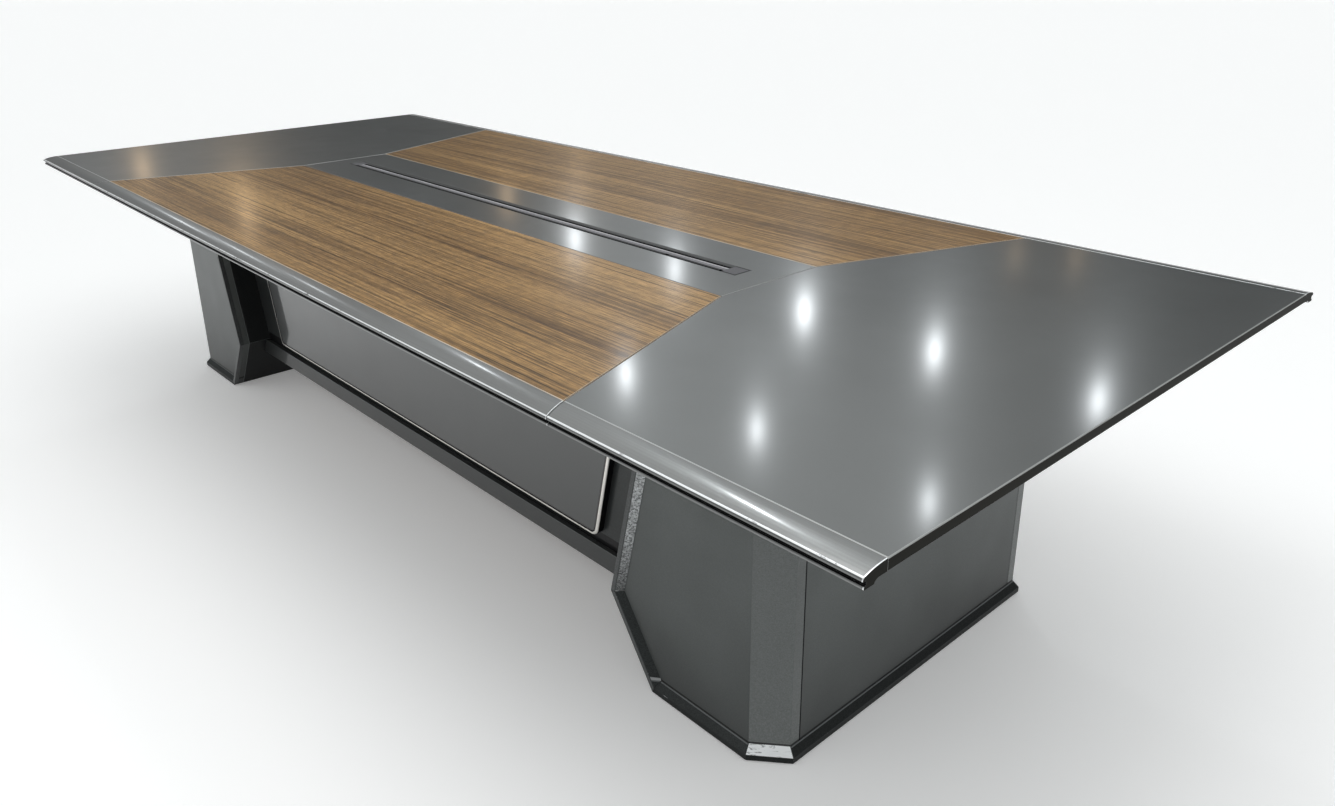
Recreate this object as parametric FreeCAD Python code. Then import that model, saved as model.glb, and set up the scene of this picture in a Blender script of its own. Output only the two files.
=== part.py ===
"""Conference table: a three-section top on two kneed pedestals joined by a bridge, with a lidded cable slot.

Frame: origin on the floor under the middle of the table, +X along its length, +Y to the back, +Z up.
All sizes are in millimetres.
"""
import FreeCAD, Part
import math
import os

# Overall size
TABLE_LENGTH = 3600.0
TABLE_WIDTH = 1500.0
TABLE_HEIGHT = 750.0

# Top boards and the bow-tie joints between the three sections
TOP_THICKNESS = 18.0
MOULDING_WIDTH = 47.0
STRIP_WIDTH = 300.0
JOINT_X_MIDDLE = 985.0
JOINT_X_EDGE = 1200.0
JOINT_GAP = 1.5
ARRIS = 1.2

# Edge moulding, measured outwards from the panel and down from the top face
CROWN_RADIUS = 150.0
NOSE_RADIUS = 5.0
NOSE_FACE_DROP = 11.6
SHADOW_DEPTH = 6.0
SHADOW_ROUND = 1.0
SHADOW_TOP_DROP = 13.0
SHADOW_BOTTOM_DROP = 19.0
BEAD_SETBACK = 2.5
BEAD_BULGE = 0.8
BEAD_TOP_DROP = 19.8
BEAD_BOTTOM_DROP = 24.0
BEAD_WIDTH = 18.5
COVE_WIDTH = 9.0
COVE_SAG = 1.5

# Tie plates under the joints
TIE_PLATE_LENGTH = 130.0
TIE_PLATE_WIDTH = 60.0
TIE_PLATE_THICKNESS = 3.0
TIE_PLATE_Y = (-600.0, -110.0, 110.0, 600.0)

# Cable slot: rails, end plates and brush
SLOT_LENGTH = 1810.0
SLOT_WIDTH = 54.0
SLOT_END_PLATE = 45.0
SLOT_WALL = 3.0
FRONT_RAIL_LIP = 1.8
RAIL_LEDGE_WIDTH = 13.0
BRUSH_SLOT_WIDTH = 4.0
BRUSH_CLEARANCE = 0.3
BRUSH_BRISTLE_HEIGHT = 3.4
BRUSH_BASE_WIDTH = 12.0
BRUSH_BASE_HEIGHT = 8.0

# Slot lids and their hinge
LID_SEAMS = (-860.0, -680.0, 0.0, 680.0, 860.0)
LID_FREE_EDGE_Y = 5.0
LID_THICKNESS = 2.5
LID_END_GAP = 0.5
LID_LIP_WIDTH = 1.6
LID_LIP_DROP = 4.0
LID_FINGER_BEVEL_WIDTH = 4.0
LID_FINGER_BEVEL_DROP = 1.0
LID_NOTCH = 4.6
HINGE_Y = -21.0
HINGE_BARREL_RADIUS = 3.5
HINGE_ROD_RADIUS = 1.5
HINGE_RUNNING_CLEARANCE = 0.05
HINGE_LUG_RADIUS = 3.2
HINGE_LUG_WIDTH = 8.0
HINGE_LUG_POST = 4.4
HINGE_LUG_GAP = 0.75

# Cable trough
TROUGH_LENGTH = 1700.0
TROUGH_INSIDE_WIDTH = 90.0
TROUGH_INSIDE_DEPTH = 88.0
TROUGH_BOARD = 12.0

# Pedestals: the right one is drawn, and the left one is its mirror image
BOARD = 18.0
PLINTH_END_X = 1425.0
PLINTH_HALF_DEPTH = 456.0
PLINTH_CHAMFER_X = 68.0
PLINTH_CHAMFER_Y = 58.0
KNEE_X = 975.0
KNEE_Z = 184.0
INNER_TOP_X = 1112.0
INNER_FLOOR_X = 1098.0
RIM_PROUD = 14.0
RIM_FLAT = 12.0
RIM_BEVEL = 15.0
CORNER_RETURN = 24.0
GLIDE_HEIGHT = 3.0
GLIDE_RADIUS = 16.0
GLIDE_INSET_X = 32.0
GLIDE_INSET_Y = 48.0

# Bridge between the pedestals
BRIDGE_HALF_DEPTH = 353.0
BRIDGE_BOTTOM_Z = 132.0
RAIL_TOP_Z = 180.0
RAIL_PROUD = 12.0
PANEL_PROUD = 18.0
PANEL_TOP_Z = 716.0
TRIM_BOTTOM_Z = 206.0
TRIM_BOTTOM_X = 825.0
TRIM_CORNER_RADIUS = 25.0
TRIM_WIDTH = 7.0
TRIM_PROUD = 1.0
TRIM_ROUND = 5.0
TRIM_GAP = 2.5
BATTEN_WIDTH = 40.0
RIB_X = 480.0

# Worked out from the driving dimensions
HALF_LENGTH = TABLE_LENGTH / 2
HALF_WIDTH = TABLE_WIDTH / 2
PANEL_HALF_WIDTH = HALF_WIDTH - MOULDING_WIDTH
HALF_STRIP = STRIP_WIDTH / 2
UNDERSIDE_Z = TABLE_HEIGHT - TOP_THICKNESS
JOINT_SLOPE = (JOINT_X_EDGE - JOINT_X_MIDDLE) / (HALF_WIDTH - HALF_STRIP)
SLOT_HALF_WIDTH = SLOT_WIDTH / 2
RAIL_LEDGE_Z = UNDERSIDE_Z + SLOT_WALL
RAIL_FLANGE_Z = TABLE_HEIGHT - LID_THICKNESS
HINGE_Z = TABLE_HEIGHT - HINGE_BARREL_RADIUS
TROUGH_FLOOR_Z = UNDERSIDE_Z - TROUGH_INSIDE_DEPTH
SIDE_Y = PLINTH_HALF_DEPTH - RIM_PROUD
SIDE_INSIDE_Y = SIDE_Y - BOARD
END_X = PLINTH_END_X - RIM_PROUD
RIM_WIDTH = RIM_FLAT + RIM_BEVEL

# Lengths used only for construction: past the ends of a cut, and longer than the whole table
OVERRUN = 10.0
FAR = 3000.0
TOLERANCE = 1e-4


def vec(x, y, z):
    return FreeCAD.Vector(x, y, z)


def plan_prism(points, z_low, z_high):
    """A polygon of (x, y) points raised from z_low to z_high."""
    ring = [vec(x, y, z_low) for x, y in points]
    face = Part.Face(Part.makePolygon(ring + ring[:1]))
    return face.extrude(vec(0, 0, z_high - z_low))


def side_prism(points, y_low, y_high):
    """A polygon of (x, z) points carried from y_low to y_high."""
    ring = [vec(x, y_low, z) for x, z in points]
    face = Part.Face(Part.makePolygon(ring + ring[:1]))
    return face.extrude(vec(0, y_high - y_low, 0))


def long_prism(points, x_low, x_high):
    """A polygon of (y, z) points carried from x_low to x_high."""
    ring = [vec(x_low, y, z) for y, z in points]
    face = Part.Face(Part.makePolygon(ring + ring[:1]))
    return face.extrude(vec(x_high - x_low, 0, 0))


def block(low, high):
    """A box between its lowest and highest corners."""
    return Part.makeBox(high[0] - low[0], high[1] - low[1], high[2] - low[2], vec(*low))


def profile_face(curves):
    """The face inside a closed chain of lines and arcs."""
    return Part.Face(Part.Wire([curve.toShape() for curve in curves]))


def mirrored_x(shape):
    return shape.mirror(vec(0, 0, 0), vec(1, 0, 0))


def mirrored_y(shape):
    return shape.mirror(vec(0, 0, 0), vec(0, 1, 0))


def edges_where(shape, test):
    """The edges whose end points all pass a test."""
    return [edge for edge in shape.Edges if all(test(v.Point) for v in edge.Vertexes)]


def meeting_point(a, b, c, d):
    """Where the line through a and b meets the line through c and d, in a plane."""
    ab = (b[0] - a[0], b[1] - a[1])
    cd = (d[0] - c[0], d[1] - c[1])
    ac = (c[0] - a[0], c[1] - a[1])
    share = (ac[0] * cd[1] - ac[1] * cd[0]) / (ab[0] * cd[1] - ab[1] * cd[0])
    return (a[0] + share * ab[0], a[1] + share * ab[1])


def shifted_line(a, b, distance):
    """The line from a to b moved to its left-hand side by a distance."""
    length = math.hypot(b[0] - a[0], b[1] - a[1])
    left = (-(b[1] - a[1]) / length, (b[0] - a[0]) / length)
    first = (a[0] + left[0] * distance, a[1] + left[1] * distance)
    second = (b[0] + left[0] * distance, b[1] + left[1] * distance)
    return first, second


def level_line(height):
    """A long line in a plane, at one value of its second coordinate."""
    return (-FAR, height), (FAR, height)


def save(name, *shapes):
    """Write one node, as a single solid or as a group of separate ones."""
    shape = shapes[0] if len(shapes) == 1 else Part.makeCompound(shapes)
    shape.exportStep("parts/" + name + ".step")
    print(name, len(shape.Solids), "solid", round(shape.Volume / 1000), "cm3")


def joint_x(y):
    """Where the joint between two sections of the top lies at a distance y from the middle line."""
    return JOINT_X_MIDDLE + max(0.0, abs(y) - HALF_STRIP) * JOINT_SLOPE


def section_outline(clearance):
    """Plan of the middle section: a bow-tie that widens from the strip to the long edges."""
    reach = HALF_WIDTH + OVERRUN
    right_side = [(joint_x(y) - clearance, y) for y in (-reach, -HALF_STRIP, HALF_STRIP, reach)]
    left_side = [(-x, y) for x, y in reversed(right_side)]
    return right_side + left_side


def end_outline(clearance):
    """Plan of the right end section, up to the cut end of the table."""
    reach = HALF_WIDTH + OVERRUN
    joint_side = [(joint_x(y) + clearance, y) for y in (reach, HALF_STRIP, -HALF_STRIP, -reach)]
    return joint_side + [(HALF_LENGTH, -reach), (HALF_LENGTH, reach)]


def in_section(shape, outline):
    """The part of a top piece that belongs to one section."""
    return shape.common(plan_prism(outline, 0, TABLE_HEIGHT + OVERRUN))


def top_board(y_low, y_high, outline):
    """A flat board of the top, cut to its section, with a small chamfer round its top face."""
    board = in_section(block((-FAR, y_low, UNDERSIDE_Z), (FAR, y_high, TABLE_HEIGHT)), outline)
    rim = edges_where(board, lambda point: abs(point.z - TABLE_HEIGHT) < TOLERANCE)
    return board.makeChamfer(ARRIS, rim)


def make_top_boards(middle, right_end):
    """Two end panels, the slotted centre strip and two veneered panels."""
    end_panel = top_board(-PANEL_HALF_WIDTH, PANEL_HALF_WIDTH, right_end)
    save("top_end_panel_right", end_panel)
    save("top_end_panel_left", mirrored_x(end_panel))

    strip = top_board(-HALF_STRIP, HALF_STRIP, middle)
    slot_low = (-SLOT_LENGTH / 2, -SLOT_HALF_WIDTH, UNDERSIDE_Z - OVERRUN)
    slot_high = (SLOT_LENGTH / 2, SLOT_HALF_WIDTH, TABLE_HEIGHT + OVERRUN)
    save("top_centre_strip", strip.cut(block(slot_low, slot_high)))

    veneer_back = top_board(HALF_STRIP, PANEL_HALF_WIDTH, middle)
    save("top_veneer_back", veneer_back)
    save("top_veneer_front", mirrored_y(veneer_back))


def moulding_profile():
    """Cross-section of the front edge moulding: crown, nose, shadow groove, bead and cove, at x = 0."""
    def at(out, drop):
        return vec(0, -PANEL_HALF_WIDTH - out, TABLE_HEIGHT - drop)

    nose_out = MOULDING_WIDTH - NOSE_RADIUS
    nose_turn = math.asin((nose_out - ARRIS) / (CROWN_RADIUS - NOSE_RADIUS))
    nose_drop = CROWN_RADIUS - (CROWN_RADIUS - NOSE_RADIUS) * math.cos(nose_turn)
    square = math.pi / 2

    def crown(angle):
        return at(ARRIS + CROWN_RADIUS * math.sin(angle), CROWN_RADIUS - CROWN_RADIUS * math.cos(angle))

    def nose(angle):
        return at(nose_out + NOSE_RADIUS * math.sin(angle), nose_drop - NOSE_RADIUS * math.cos(angle))

    nose_foot = at(MOULDING_WIDTH, NOSE_FACE_DROP)
    shadow_out = MOULDING_WIDTH - SHADOW_DEPTH
    shadow_top = at(shadow_out, SHADOW_TOP_DROP)
    shadow_floor = at(shadow_out - SHADOW_ROUND, (SHADOW_TOP_DROP + SHADOW_BOTTOM_DROP) / 2)
    shadow_bottom = at(shadow_out, SHADOW_BOTTOM_DROP)
    bead_out = MOULDING_WIDTH - BEAD_SETBACK
    bead_top = at(bead_out - BEAD_BULGE, BEAD_TOP_DROP)
    bead_crest = at(bead_out, (BEAD_TOP_DROP + BEAD_BOTTOM_DROP) / 2)
    bead_bottom = at(bead_out - BEAD_BULGE, BEAD_BOTTOM_DROP)
    cove_out = bead_out - BEAD_BULGE - BEAD_WIDTH
    cove_rise = BEAD_BOTTOM_DROP - TOP_THICKNESS
    cove_chord = math.hypot(COVE_WIDTH, cove_rise)
    cove_start = at(cove_out, BEAD_BOTTOM_DROP)
    cove_middle = at(
        cove_out - COVE_WIDTH / 2 + COVE_SAG * cove_rise / cove_chord,
        BEAD_BOTTOM_DROP - cove_rise / 2 - COVE_SAG * COVE_WIDTH / cove_chord,
    )
    cove_end = at(cove_out - COVE_WIDTH, TOP_THICKNESS)
    return profile_face([
        Part.LineSegment(at(0, ARRIS), at(ARRIS, 0)),
        Part.Arc(crown(0), crown(nose_turn / 2), crown(nose_turn)),
        Part.Arc(nose(nose_turn), nose((nose_turn + square) / 2), nose(square)),
        Part.LineSegment(nose(square), nose_foot),
        Part.LineSegment(nose_foot, shadow_top),
        Part.Arc(shadow_top, shadow_floor, shadow_bottom),
        Part.LineSegment(shadow_bottom, bead_top),
        Part.Arc(bead_top, bead_crest, bead_bottom),
        Part.LineSegment(bead_bottom, cove_start),
        Part.Arc(cove_start, cove_middle, cove_end),
        Part.LineSegment(cove_end, at(0, TOP_THICKNESS)),
        Part.LineSegment(at(0, TOP_THICKNESS), at(0, ARRIS)),
    ])


def make_edge_mouldings(middle, right_end):
    """Three lengths of moulding on each long edge, cut on the same joints as the boards."""
    whole = moulding_profile().extrude(vec(2 * FAR, 0, 0))
    whole.translate(vec(-FAR, 0, 0))
    centre = in_section(whole, middle)
    right = in_section(whole, right_end)
    save("edge_moulding_front_centre", centre)
    save("edge_moulding_front_right", right)
    save("edge_moulding_front_left", mirrored_x(right))
    save("edge_moulding_back_centre", mirrored_y(centre))
    save("edge_moulding_back_right", mirrored_y(right))
    save("edge_moulding_back_left", mirrored_x(mirrored_y(right)))


def make_tie_plates():
    """Steel plates screwed across the joints from below."""
    half_length = TIE_PLATE_LENGTH / 2
    half_width = TIE_PLATE_WIDTH / 2
    plates = []
    for y in TIE_PLATE_Y:
        x = joint_x(y)
        low = (x - half_length, y - half_width, UNDERSIDE_Z - TIE_PLATE_THICKNESS)
        high = (x + half_length, y + half_width, UNDERSIDE_Z)
        plate = block(low, high)
        plates += [plate, mirrored_x(plate)]
    save("joint_tie_plates", *plates)


def make_top():
    middle = section_outline(JOINT_GAP / 2)
    right_end = end_outline(JOINT_GAP / 2)
    make_top_boards(middle, right_end)
    make_edge_mouldings(middle, right_end)
    make_tie_plates()


def lug_centres():
    """Middle of each hinge lug: on the seams between lids, and just inside the end plates."""
    first = LID_SEAMS[0] + HINGE_LUG_WIDTH / 2
    last = LID_SEAMS[-1] - HINGE_LUG_WIDTH / 2
    return [first] + list(LID_SEAMS[1:-1]) + [last]


def hinge_bar(x_low, x_high, radius):
    """A round bar on the hinge axis."""
    return Part.makeCylinder(radius, x_high - x_low, vec(x_low, HINGE_Y, HINGE_Z), vec(1, 0, 0))


def make_front_rail(x_low, x_high):
    """Angle rail with a lug at every lid end, and the fixed rod that runs through the lugs."""
    ledge_y = -SLOT_HALF_WIDTH + RAIL_LEDGE_WIDTH
    lip_y = -SLOT_HALF_WIDTH + FRONT_RAIL_LIP
    rail = long_prism([
        (-SLOT_HALF_WIDTH, UNDERSIDE_Z),
        (ledge_y, UNDERSIDE_Z),
        (ledge_y, RAIL_LEDGE_Z),
        (lip_y, RAIL_LEDGE_Z),
        (lip_y, TABLE_HEIGHT),
        (-SLOT_HALF_WIDTH, TABLE_HEIGHT),
    ], x_low, x_high)
    for x in lug_centres():
        lug_low = x - HINGE_LUG_WIDTH / 2
        lug_high = x + HINGE_LUG_WIDTH / 2
        post_low = (lug_low, HINGE_Y - HINGE_LUG_POST / 2, RAIL_LEDGE_Z)
        post_high = (lug_high, HINGE_Y + HINGE_LUG_POST / 2, HINGE_Z)
        lug = hinge_bar(lug_low, lug_high, HINGE_LUG_RADIUS).fuse(block(post_low, post_high))
        rail = rail.fuse(lug)
    rod = hinge_bar(x_low, x_high, HINGE_ROD_RADIUS)
    save("slot_rail_front", rail.cut(rod).removeSplitter())
    save("lid_hinge_rod", rod)


def make_back_rail(x_low, x_high):
    """Channel rail that holds the brush under its top flange."""
    flange_y = LID_FREE_EDGE_Y + BRUSH_SLOT_WIDTH
    ledge_y = SLOT_HALF_WIDTH - RAIL_LEDGE_WIDTH
    wall_y = SLOT_HALF_WIDTH - SLOT_WALL
    rail = long_prism([
        (flange_y, TABLE_HEIGHT),
        (SLOT_HALF_WIDTH, TABLE_HEIGHT),
        (SLOT_HALF_WIDTH, UNDERSIDE_Z),
        (ledge_y, UNDERSIDE_Z),
        (ledge_y, RAIL_LEDGE_Z),
        (wall_y, RAIL_LEDGE_Z),
        (wall_y, RAIL_FLANGE_Z),
        (flange_y, RAIL_FLANGE_Z),
    ], x_low, x_high)
    save("slot_rail_back", rail)


def make_brush(x_low, x_high):
    """Brush strip: a backing bar in the rail and a row of bristles that closes the slot under the lids."""
    base_back = SLOT_HALF_WIDTH - SLOT_WALL
    base_front = base_back - BRUSH_BASE_WIDTH
    base_z = RAIL_FLANGE_Z - BRUSH_BASE_HEIGHT
    tip_y = LID_FREE_EDGE_Y + BRUSH_CLEARANCE
    bristle_low = base_z + (BRUSH_BASE_HEIGHT - BRUSH_BRISTLE_HEIGHT) / 2
    bristle_high = bristle_low + BRUSH_BRISTLE_HEIGHT
    brush = long_prism([
        (tip_y, bristle_low),
        (base_front, bristle_low),
        (base_front, base_z),
        (base_back, base_z),
        (base_back, RAIL_FLANGE_Z),
        (base_front, RAIL_FLANGE_Z),
        (base_front, bristle_high),
        (tip_y, bristle_high),
    ], x_low, x_high)
    save("slot_brush", brush)


def make_slot_end_plates(x_inner):
    """Caps that close the ends of the slot."""
    x_outer = x_inner + SLOT_END_PLATE
    inside_y = SLOT_HALF_WIDTH - SLOT_WALL
    cap = block((x_inner, -SLOT_HALF_WIDTH, UNDERSIDE_Z), (x_outer, SLOT_HALF_WIDTH, TABLE_HEIGHT))
    hollow_low = (x_inner, -inside_y, UNDERSIDE_Z)
    hollow_high = (x_outer - SLOT_WALL, inside_y, TABLE_HEIGHT - SLOT_WALL)
    cap = cap.cut(block(hollow_low, hollow_high))
    save("slot_end_plate_right", cap)
    save("slot_end_plate_left", mirrored_x(cap))


def lid_profile():
    """Cross-section of a lid at x = 0: hinge barrel, plate, finger bevel and stiffening lip."""
    radius = HINGE_BARREL_RADIUS
    under = radius - LID_THICKNESS
    free = LID_FREE_EDGE_Y - HINGE_Y
    lip_inside = free - LID_LIP_WIDTH
    lip_bottom = radius - LID_LIP_DROP
    root = math.asin(under / radius)
    half_way_round = (root - 3 * math.pi / 2) / 2

    def at(y, z):
        return vec(0, HINGE_Y + y, HINGE_Z + z)

    def on_barrel(angle):
        return at(radius * math.cos(angle), radius * math.sin(angle))

    top = at(0, radius)
    bevel_top = at(free - LID_FINGER_BEVEL_WIDTH, radius)
    bevel_foot = at(free, radius - LID_FINGER_BEVEL_DROP)
    free_bottom = at(free, lip_bottom)
    return profile_face([
        Part.LineSegment(top, bevel_top),
        Part.LineSegment(bevel_top, bevel_foot),
        Part.LineSegment(bevel_foot, free_bottom),
        Part.LineSegment(free_bottom, at(lip_inside, lip_bottom)),
        Part.LineSegment(at(lip_inside, lip_bottom), at(lip_inside, under)),
        Part.LineSegment(at(lip_inside, under), on_barrel(root)),
        Part.Arc(on_barrel(root), on_barrel(half_way_round), top),
    ])


def make_lids():
    """Lids end to end along the slot, bored for the rod and notched round the hinge lugs."""
    lugs = lug_centres()
    notch_reach = HINGE_LUG_WIDTH / 2 + HINGE_LUG_GAP
    bore = HINGE_ROD_RADIUS + HINGE_RUNNING_CLEARANCE
    for number in range(len(LID_SEAMS) - 1):
        x_low = LID_SEAMS[number] + LID_END_GAP
        x_high = LID_SEAMS[number + 1] - LID_END_GAP
        lid = lid_profile().extrude(vec(x_high - x_low, 0, 0))
        lid.translate(vec(x_low, 0, 0))
        for lug_x in lugs[number:number + 2]:
            notch_low = (lug_x - notch_reach, HINGE_Y - OVERRUN, HINGE_Z - OVERRUN)
            notch_high = (lug_x + notch_reach, HINGE_Y + LID_NOTCH, TABLE_HEIGHT + OVERRUN)
            lid = lid.cut(block(notch_low, notch_high))
        lid = lid.cut(hinge_bar(x_low, x_high, bore))
        save("slot_lid_" + str(number + 1), lid)


def make_slot():
    x_low = LID_SEAMS[0]
    x_high = LID_SEAMS[-1]
    make_front_rail(x_low, x_high)
    make_back_rail(x_low, x_high)
    make_brush(x_low, x_high)
    make_slot_end_plates(x_high)
    make_lids()


def make_trough():
    """Board channel under the slot, open at both ends, that carries power strips and cables."""
    half_length = TROUGH_LENGTH / 2
    inside_y = TROUGH_INSIDE_WIDTH / 2
    outside_y = inside_y + TROUGH_BOARD
    floor_low = (-half_length, -outside_y, TROUGH_FLOOR_Z - TROUGH_BOARD)
    save("trough_floor", block(floor_low, (half_length, outside_y, TROUGH_FLOOR_Z)))
    back = block((-half_length, inside_y, TROUGH_FLOOR_Z), (half_length, outside_y, UNDERSIDE_Z))
    save("trough_sides", mirrored_y(back), back)


def inner_face_x(z):
    """The pedestal's inner face: it leans out to the knee and undercuts to the floor."""
    if z >= KNEE_Z:
        return KNEE_X + (INNER_TOP_X - KNEE_X) * (z - KNEE_Z) / (UNDERSIDE_Z - KNEE_Z)
    return KNEE_X + (INNER_FLOOR_X - KNEE_X) * (KNEE_Z - z) / (KNEE_Z - GLIDE_HEIGHT)


def kneed_line(inset):
    """The inner edge of a side panel in (x, z), from top to floor, moved into the panel by an inset."""
    top = (INNER_TOP_X, UNDERSIDE_Z)
    knee = (KNEE_X, KNEE_Z)
    foot = (INNER_FLOOR_X, GLIDE_HEIGHT)
    upper = shifted_line(top, knee, inset)
    lower = shifted_line(knee, foot, inset)
    return [
        meeting_point(*upper, *level_line(UNDERSIDE_Z)),
        meeting_point(*upper, *lower),
        meeting_point(*lower, *level_line(GLIDE_HEIGHT + inset)),
    ]


def plinth_corners(inset):
    """Front corner of the plinth in plan, set in from the skirting: the chamfer's start and end."""
    leave = (PLINTH_END_X - PLINTH_CHAMFER_X, -PLINTH_HALF_DEPTH)
    meet = (PLINTH_END_X, -PLINTH_HALF_DEPTH + PLINTH_CHAMFER_Y)
    chamfer = shifted_line(leave, meet, inset)
    end_line = ((PLINTH_END_X - inset, -FAR), (PLINTH_END_X - inset, FAR))
    return [
        meeting_point(*chamfer, *level_line(-PLINTH_HALF_DEPTH + inset)),
        meeting_point(*chamfer, *end_line),
    ]


def mitred_length(first, second):
    """A length of rim or skirting between the sections at its two mitres."""
    wires = [Part.makePolygon(section + section[:1]) for section in (first, second)]
    return Part.makeLoft(wires, True, True)


def rim_sections():
    """Sections of the front rim at the top, the knee and the floor mitre."""
    sections = []
    for outer, flat, inner in zip(kneed_line(0), kneed_line(RIM_FLAT), kneed_line(RIM_WIDTH)):
        sections.append([
            vec(outer[0], -SIDE_Y, outer[1]),
            vec(outer[0], -PLINTH_HALF_DEPTH, outer[1]),
            vec(flat[0], -PLINTH_HALF_DEPTH, flat[1]),
            vec(inner[0], -SIDE_Y, inner[1]),
        ])
    return sections


def skirting_sections():
    """Sections of the skirting at the two front corners and, mirrored, at the two back ones."""
    front = []
    for outer, inner in zip(plinth_corners(0), plinth_corners(RIM_PROUD)):
        front.append([
            vec(*inner, GLIDE_HEIGHT),
            vec(*outer, GLIDE_HEIGHT),
            vec(*outer, GLIDE_HEIGHT + RIM_FLAT),
            vec(*inner, GLIDE_HEIGHT + RIM_WIDTH),
        ])
    back = [[vec(p.x, -p.y, p.z) for p in section] for section in reversed(front)]
    return front + back


def corner_post():
    """Front corner of the pedestal: a chamfered face with a short return on the end."""
    leave, meet = plinth_corners(RIM_PROUD)
    inside_leave, inside_meet = plinth_corners(RIM_PROUD + BOARD)
    return_y = meet[1] + CORNER_RETURN
    outline = [
        leave,
        meet,
        (END_X, return_y),
        (END_X - BOARD, return_y),
        inside_meet,
        inside_leave,
        (leave[0], -SIDE_INSIDE_Y),
    ]
    return plan_prism(outline, GLIDE_HEIGHT, UNDERSIDE_Z)


def pedestal_end_panel():
    """End panel between the corner posts, with a groove chamfer on its two upright edges."""
    half_depth = abs(plinth_corners(RIM_PROUD)[1][1]) - CORNER_RETURN
    panel = block((END_X - BOARD, -half_depth, GLIDE_HEIGHT), (END_X, half_depth, UNDERSIDE_Z))
    grooves = []
    for y in (-half_depth, half_depth):
        corner = vec(END_X, y, 0)
        grooves += edges_where(panel, lambda p: math.hypot(p.x - corner.x, p.y - corner.y) < TOLERANCE)
    return panel.makeChamfer(ARRIS, grooves)


def pedestal_board(x_inner, z_low):
    """A level board that fills the pedestal's plan from an inner line to the corner posts."""
    front = [(x_inner, -SIDE_INSIDE_Y)] + plinth_corners(RIM_PROUD + BOARD)
    back = [(x, -y) for x, y in reversed(front)]
    return plan_prism(front + back, z_low, z_low + BOARD)


def make_pedestal():
    """Every piece of the right pedestal, by name."""
    outer_line = kneed_line(0)
    inside_line = kneed_line(BOARD)
    inside_foot = meeting_point(inside_line[1], inside_line[2], *level_line(GLIDE_HEIGHT))
    corner_x = plinth_corners(RIM_PROUD)[0][0]
    pieces = {}

    side_outline = outer_line + [(corner_x, GLIDE_HEIGHT), (corner_x, UNDERSIDE_Z)]
    side = side_prism(side_outline, -SIDE_Y, -SIDE_INSIDE_Y)
    pieces["side_front"] = [side]
    pieces["side_back"] = [mirrored_y(side)]

    upper = [outer_line[0], outer_line[1], inside_line[1], inside_line[0]]
    lower = [outer_line[1], outer_line[2], inside_foot, inside_line[1]]
    pieces["inner_upper"] = [side_prism(upper, -SIDE_INSIDE_Y, SIDE_INSIDE_Y)]
    pieces["inner_lower"] = [side_prism(lower, -SIDE_INSIDE_Y, SIDE_INSIDE_Y)]

    rims = rim_sections()
    rim = [mitred_length(rims[0], rims[1]), mitred_length(rims[1], rims[2])]
    pieces["rim_front"] = rim
    pieces["rim_back"] = [mirrored_y(length) for length in rim]

    skirts = skirting_sections()
    front_run = mitred_length(rims[2], skirts[0])
    corners_and_end = [mitred_length(*pair) for pair in zip(skirts[:-1], skirts[1:])]
    pieces["skirting"] = [front_run, mirrored_y(front_run)] + corners_and_end

    post = corner_post()
    pieces["corner_posts"] = [post, mirrored_y(post)]
    pieces["end_panel"] = [pedestal_end_panel()]
    pieces["base_board"] = [pedestal_board(inside_foot[0], GLIDE_HEIGHT)]
    pieces["top_board"] = [pedestal_board(inside_line[0][0], UNDERSIDE_Z - BOARD)]

    glide_y = SIDE_INSIDE_Y - GLIDE_INSET_Y
    glides = []
    for x in (inside_foot[0] + GLIDE_INSET_X, corner_x - GLIDE_INSET_X):
        for y in (-glide_y, 0, glide_y):
            glides.append(Part.makeCylinder(GLIDE_RADIUS, GLIDE_HEIGHT, vec(x, y, 0)))
    pieces["glides"] = glides
    return pieces


def make_pedestals():
    for name, shapes in make_pedestal().items():
        save("right_pedestal_" + name, *shapes)
        save("left_pedestal_" + name, *[mirrored_x(shape) for shape in shapes])


def between_pedestals(z_low, z_high):
    """Outline in (x, z) of a board that fills the width between the inner faces."""
    heights = [z_low, z_high]
    if z_low < KNEE_Z < z_high:
        heights = [z_low, KNEE_Z, z_high]
    right = [(inner_face_x(z), z) for z in heights]
    left = [(-x, z) for x, z in reversed(right)]
    return right + left


def raised_face(inset, y):
    """The raised panel's outline, set in from the trim's outside, with its two lower corners rounded."""
    lean = (INNER_TOP_X - KNEE_X) / (UNDERSIDE_Z - KNEE_Z)
    foot = (TRIM_BOTTOM_X, TRIM_BOTTOM_Z)
    slant = shifted_line(foot, (foot[0] + lean, foot[1] + 1), inset)
    top = meeting_point(*slant, *level_line(PANEL_TOP_Z))
    corner = meeting_point(*slant, *level_line(TRIM_BOTTOM_Z + inset))
    radius = TRIM_CORNER_RADIUS - inset
    turn = math.pi / 2 - math.atan(lean)
    setback = radius * math.tan(turn / 2)
    start = (corner[0] - setback, corner[1])
    finish = (corner[0] + setback * math.cos(turn), corner[1] + setback * math.sin(turn))
    middle = (start[0] + radius * math.sin(turn / 2), start[1] + radius * (1 - math.cos(turn / 2)))

    def right(point):
        return vec(point[0], y, point[1])

    def left(point):
        return vec(-point[0], y, point[1])

    return profile_face([
        Part.LineSegment(left(start), right(start)),
        Part.Arc(right(start), right(middle), right(finish)),
        Part.LineSegment(right(finish), right(top)),
        Part.LineSegment(right(top), left(top)),
        Part.LineSegment(left(top), left(finish)),
        Part.Arc(left(finish), left(middle), left(start)),
    ])


def raised_slab(inset, y_back, y_front):
    return raised_face(inset, y_back).extrude(vec(0, y_front - y_back, 0))


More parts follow.
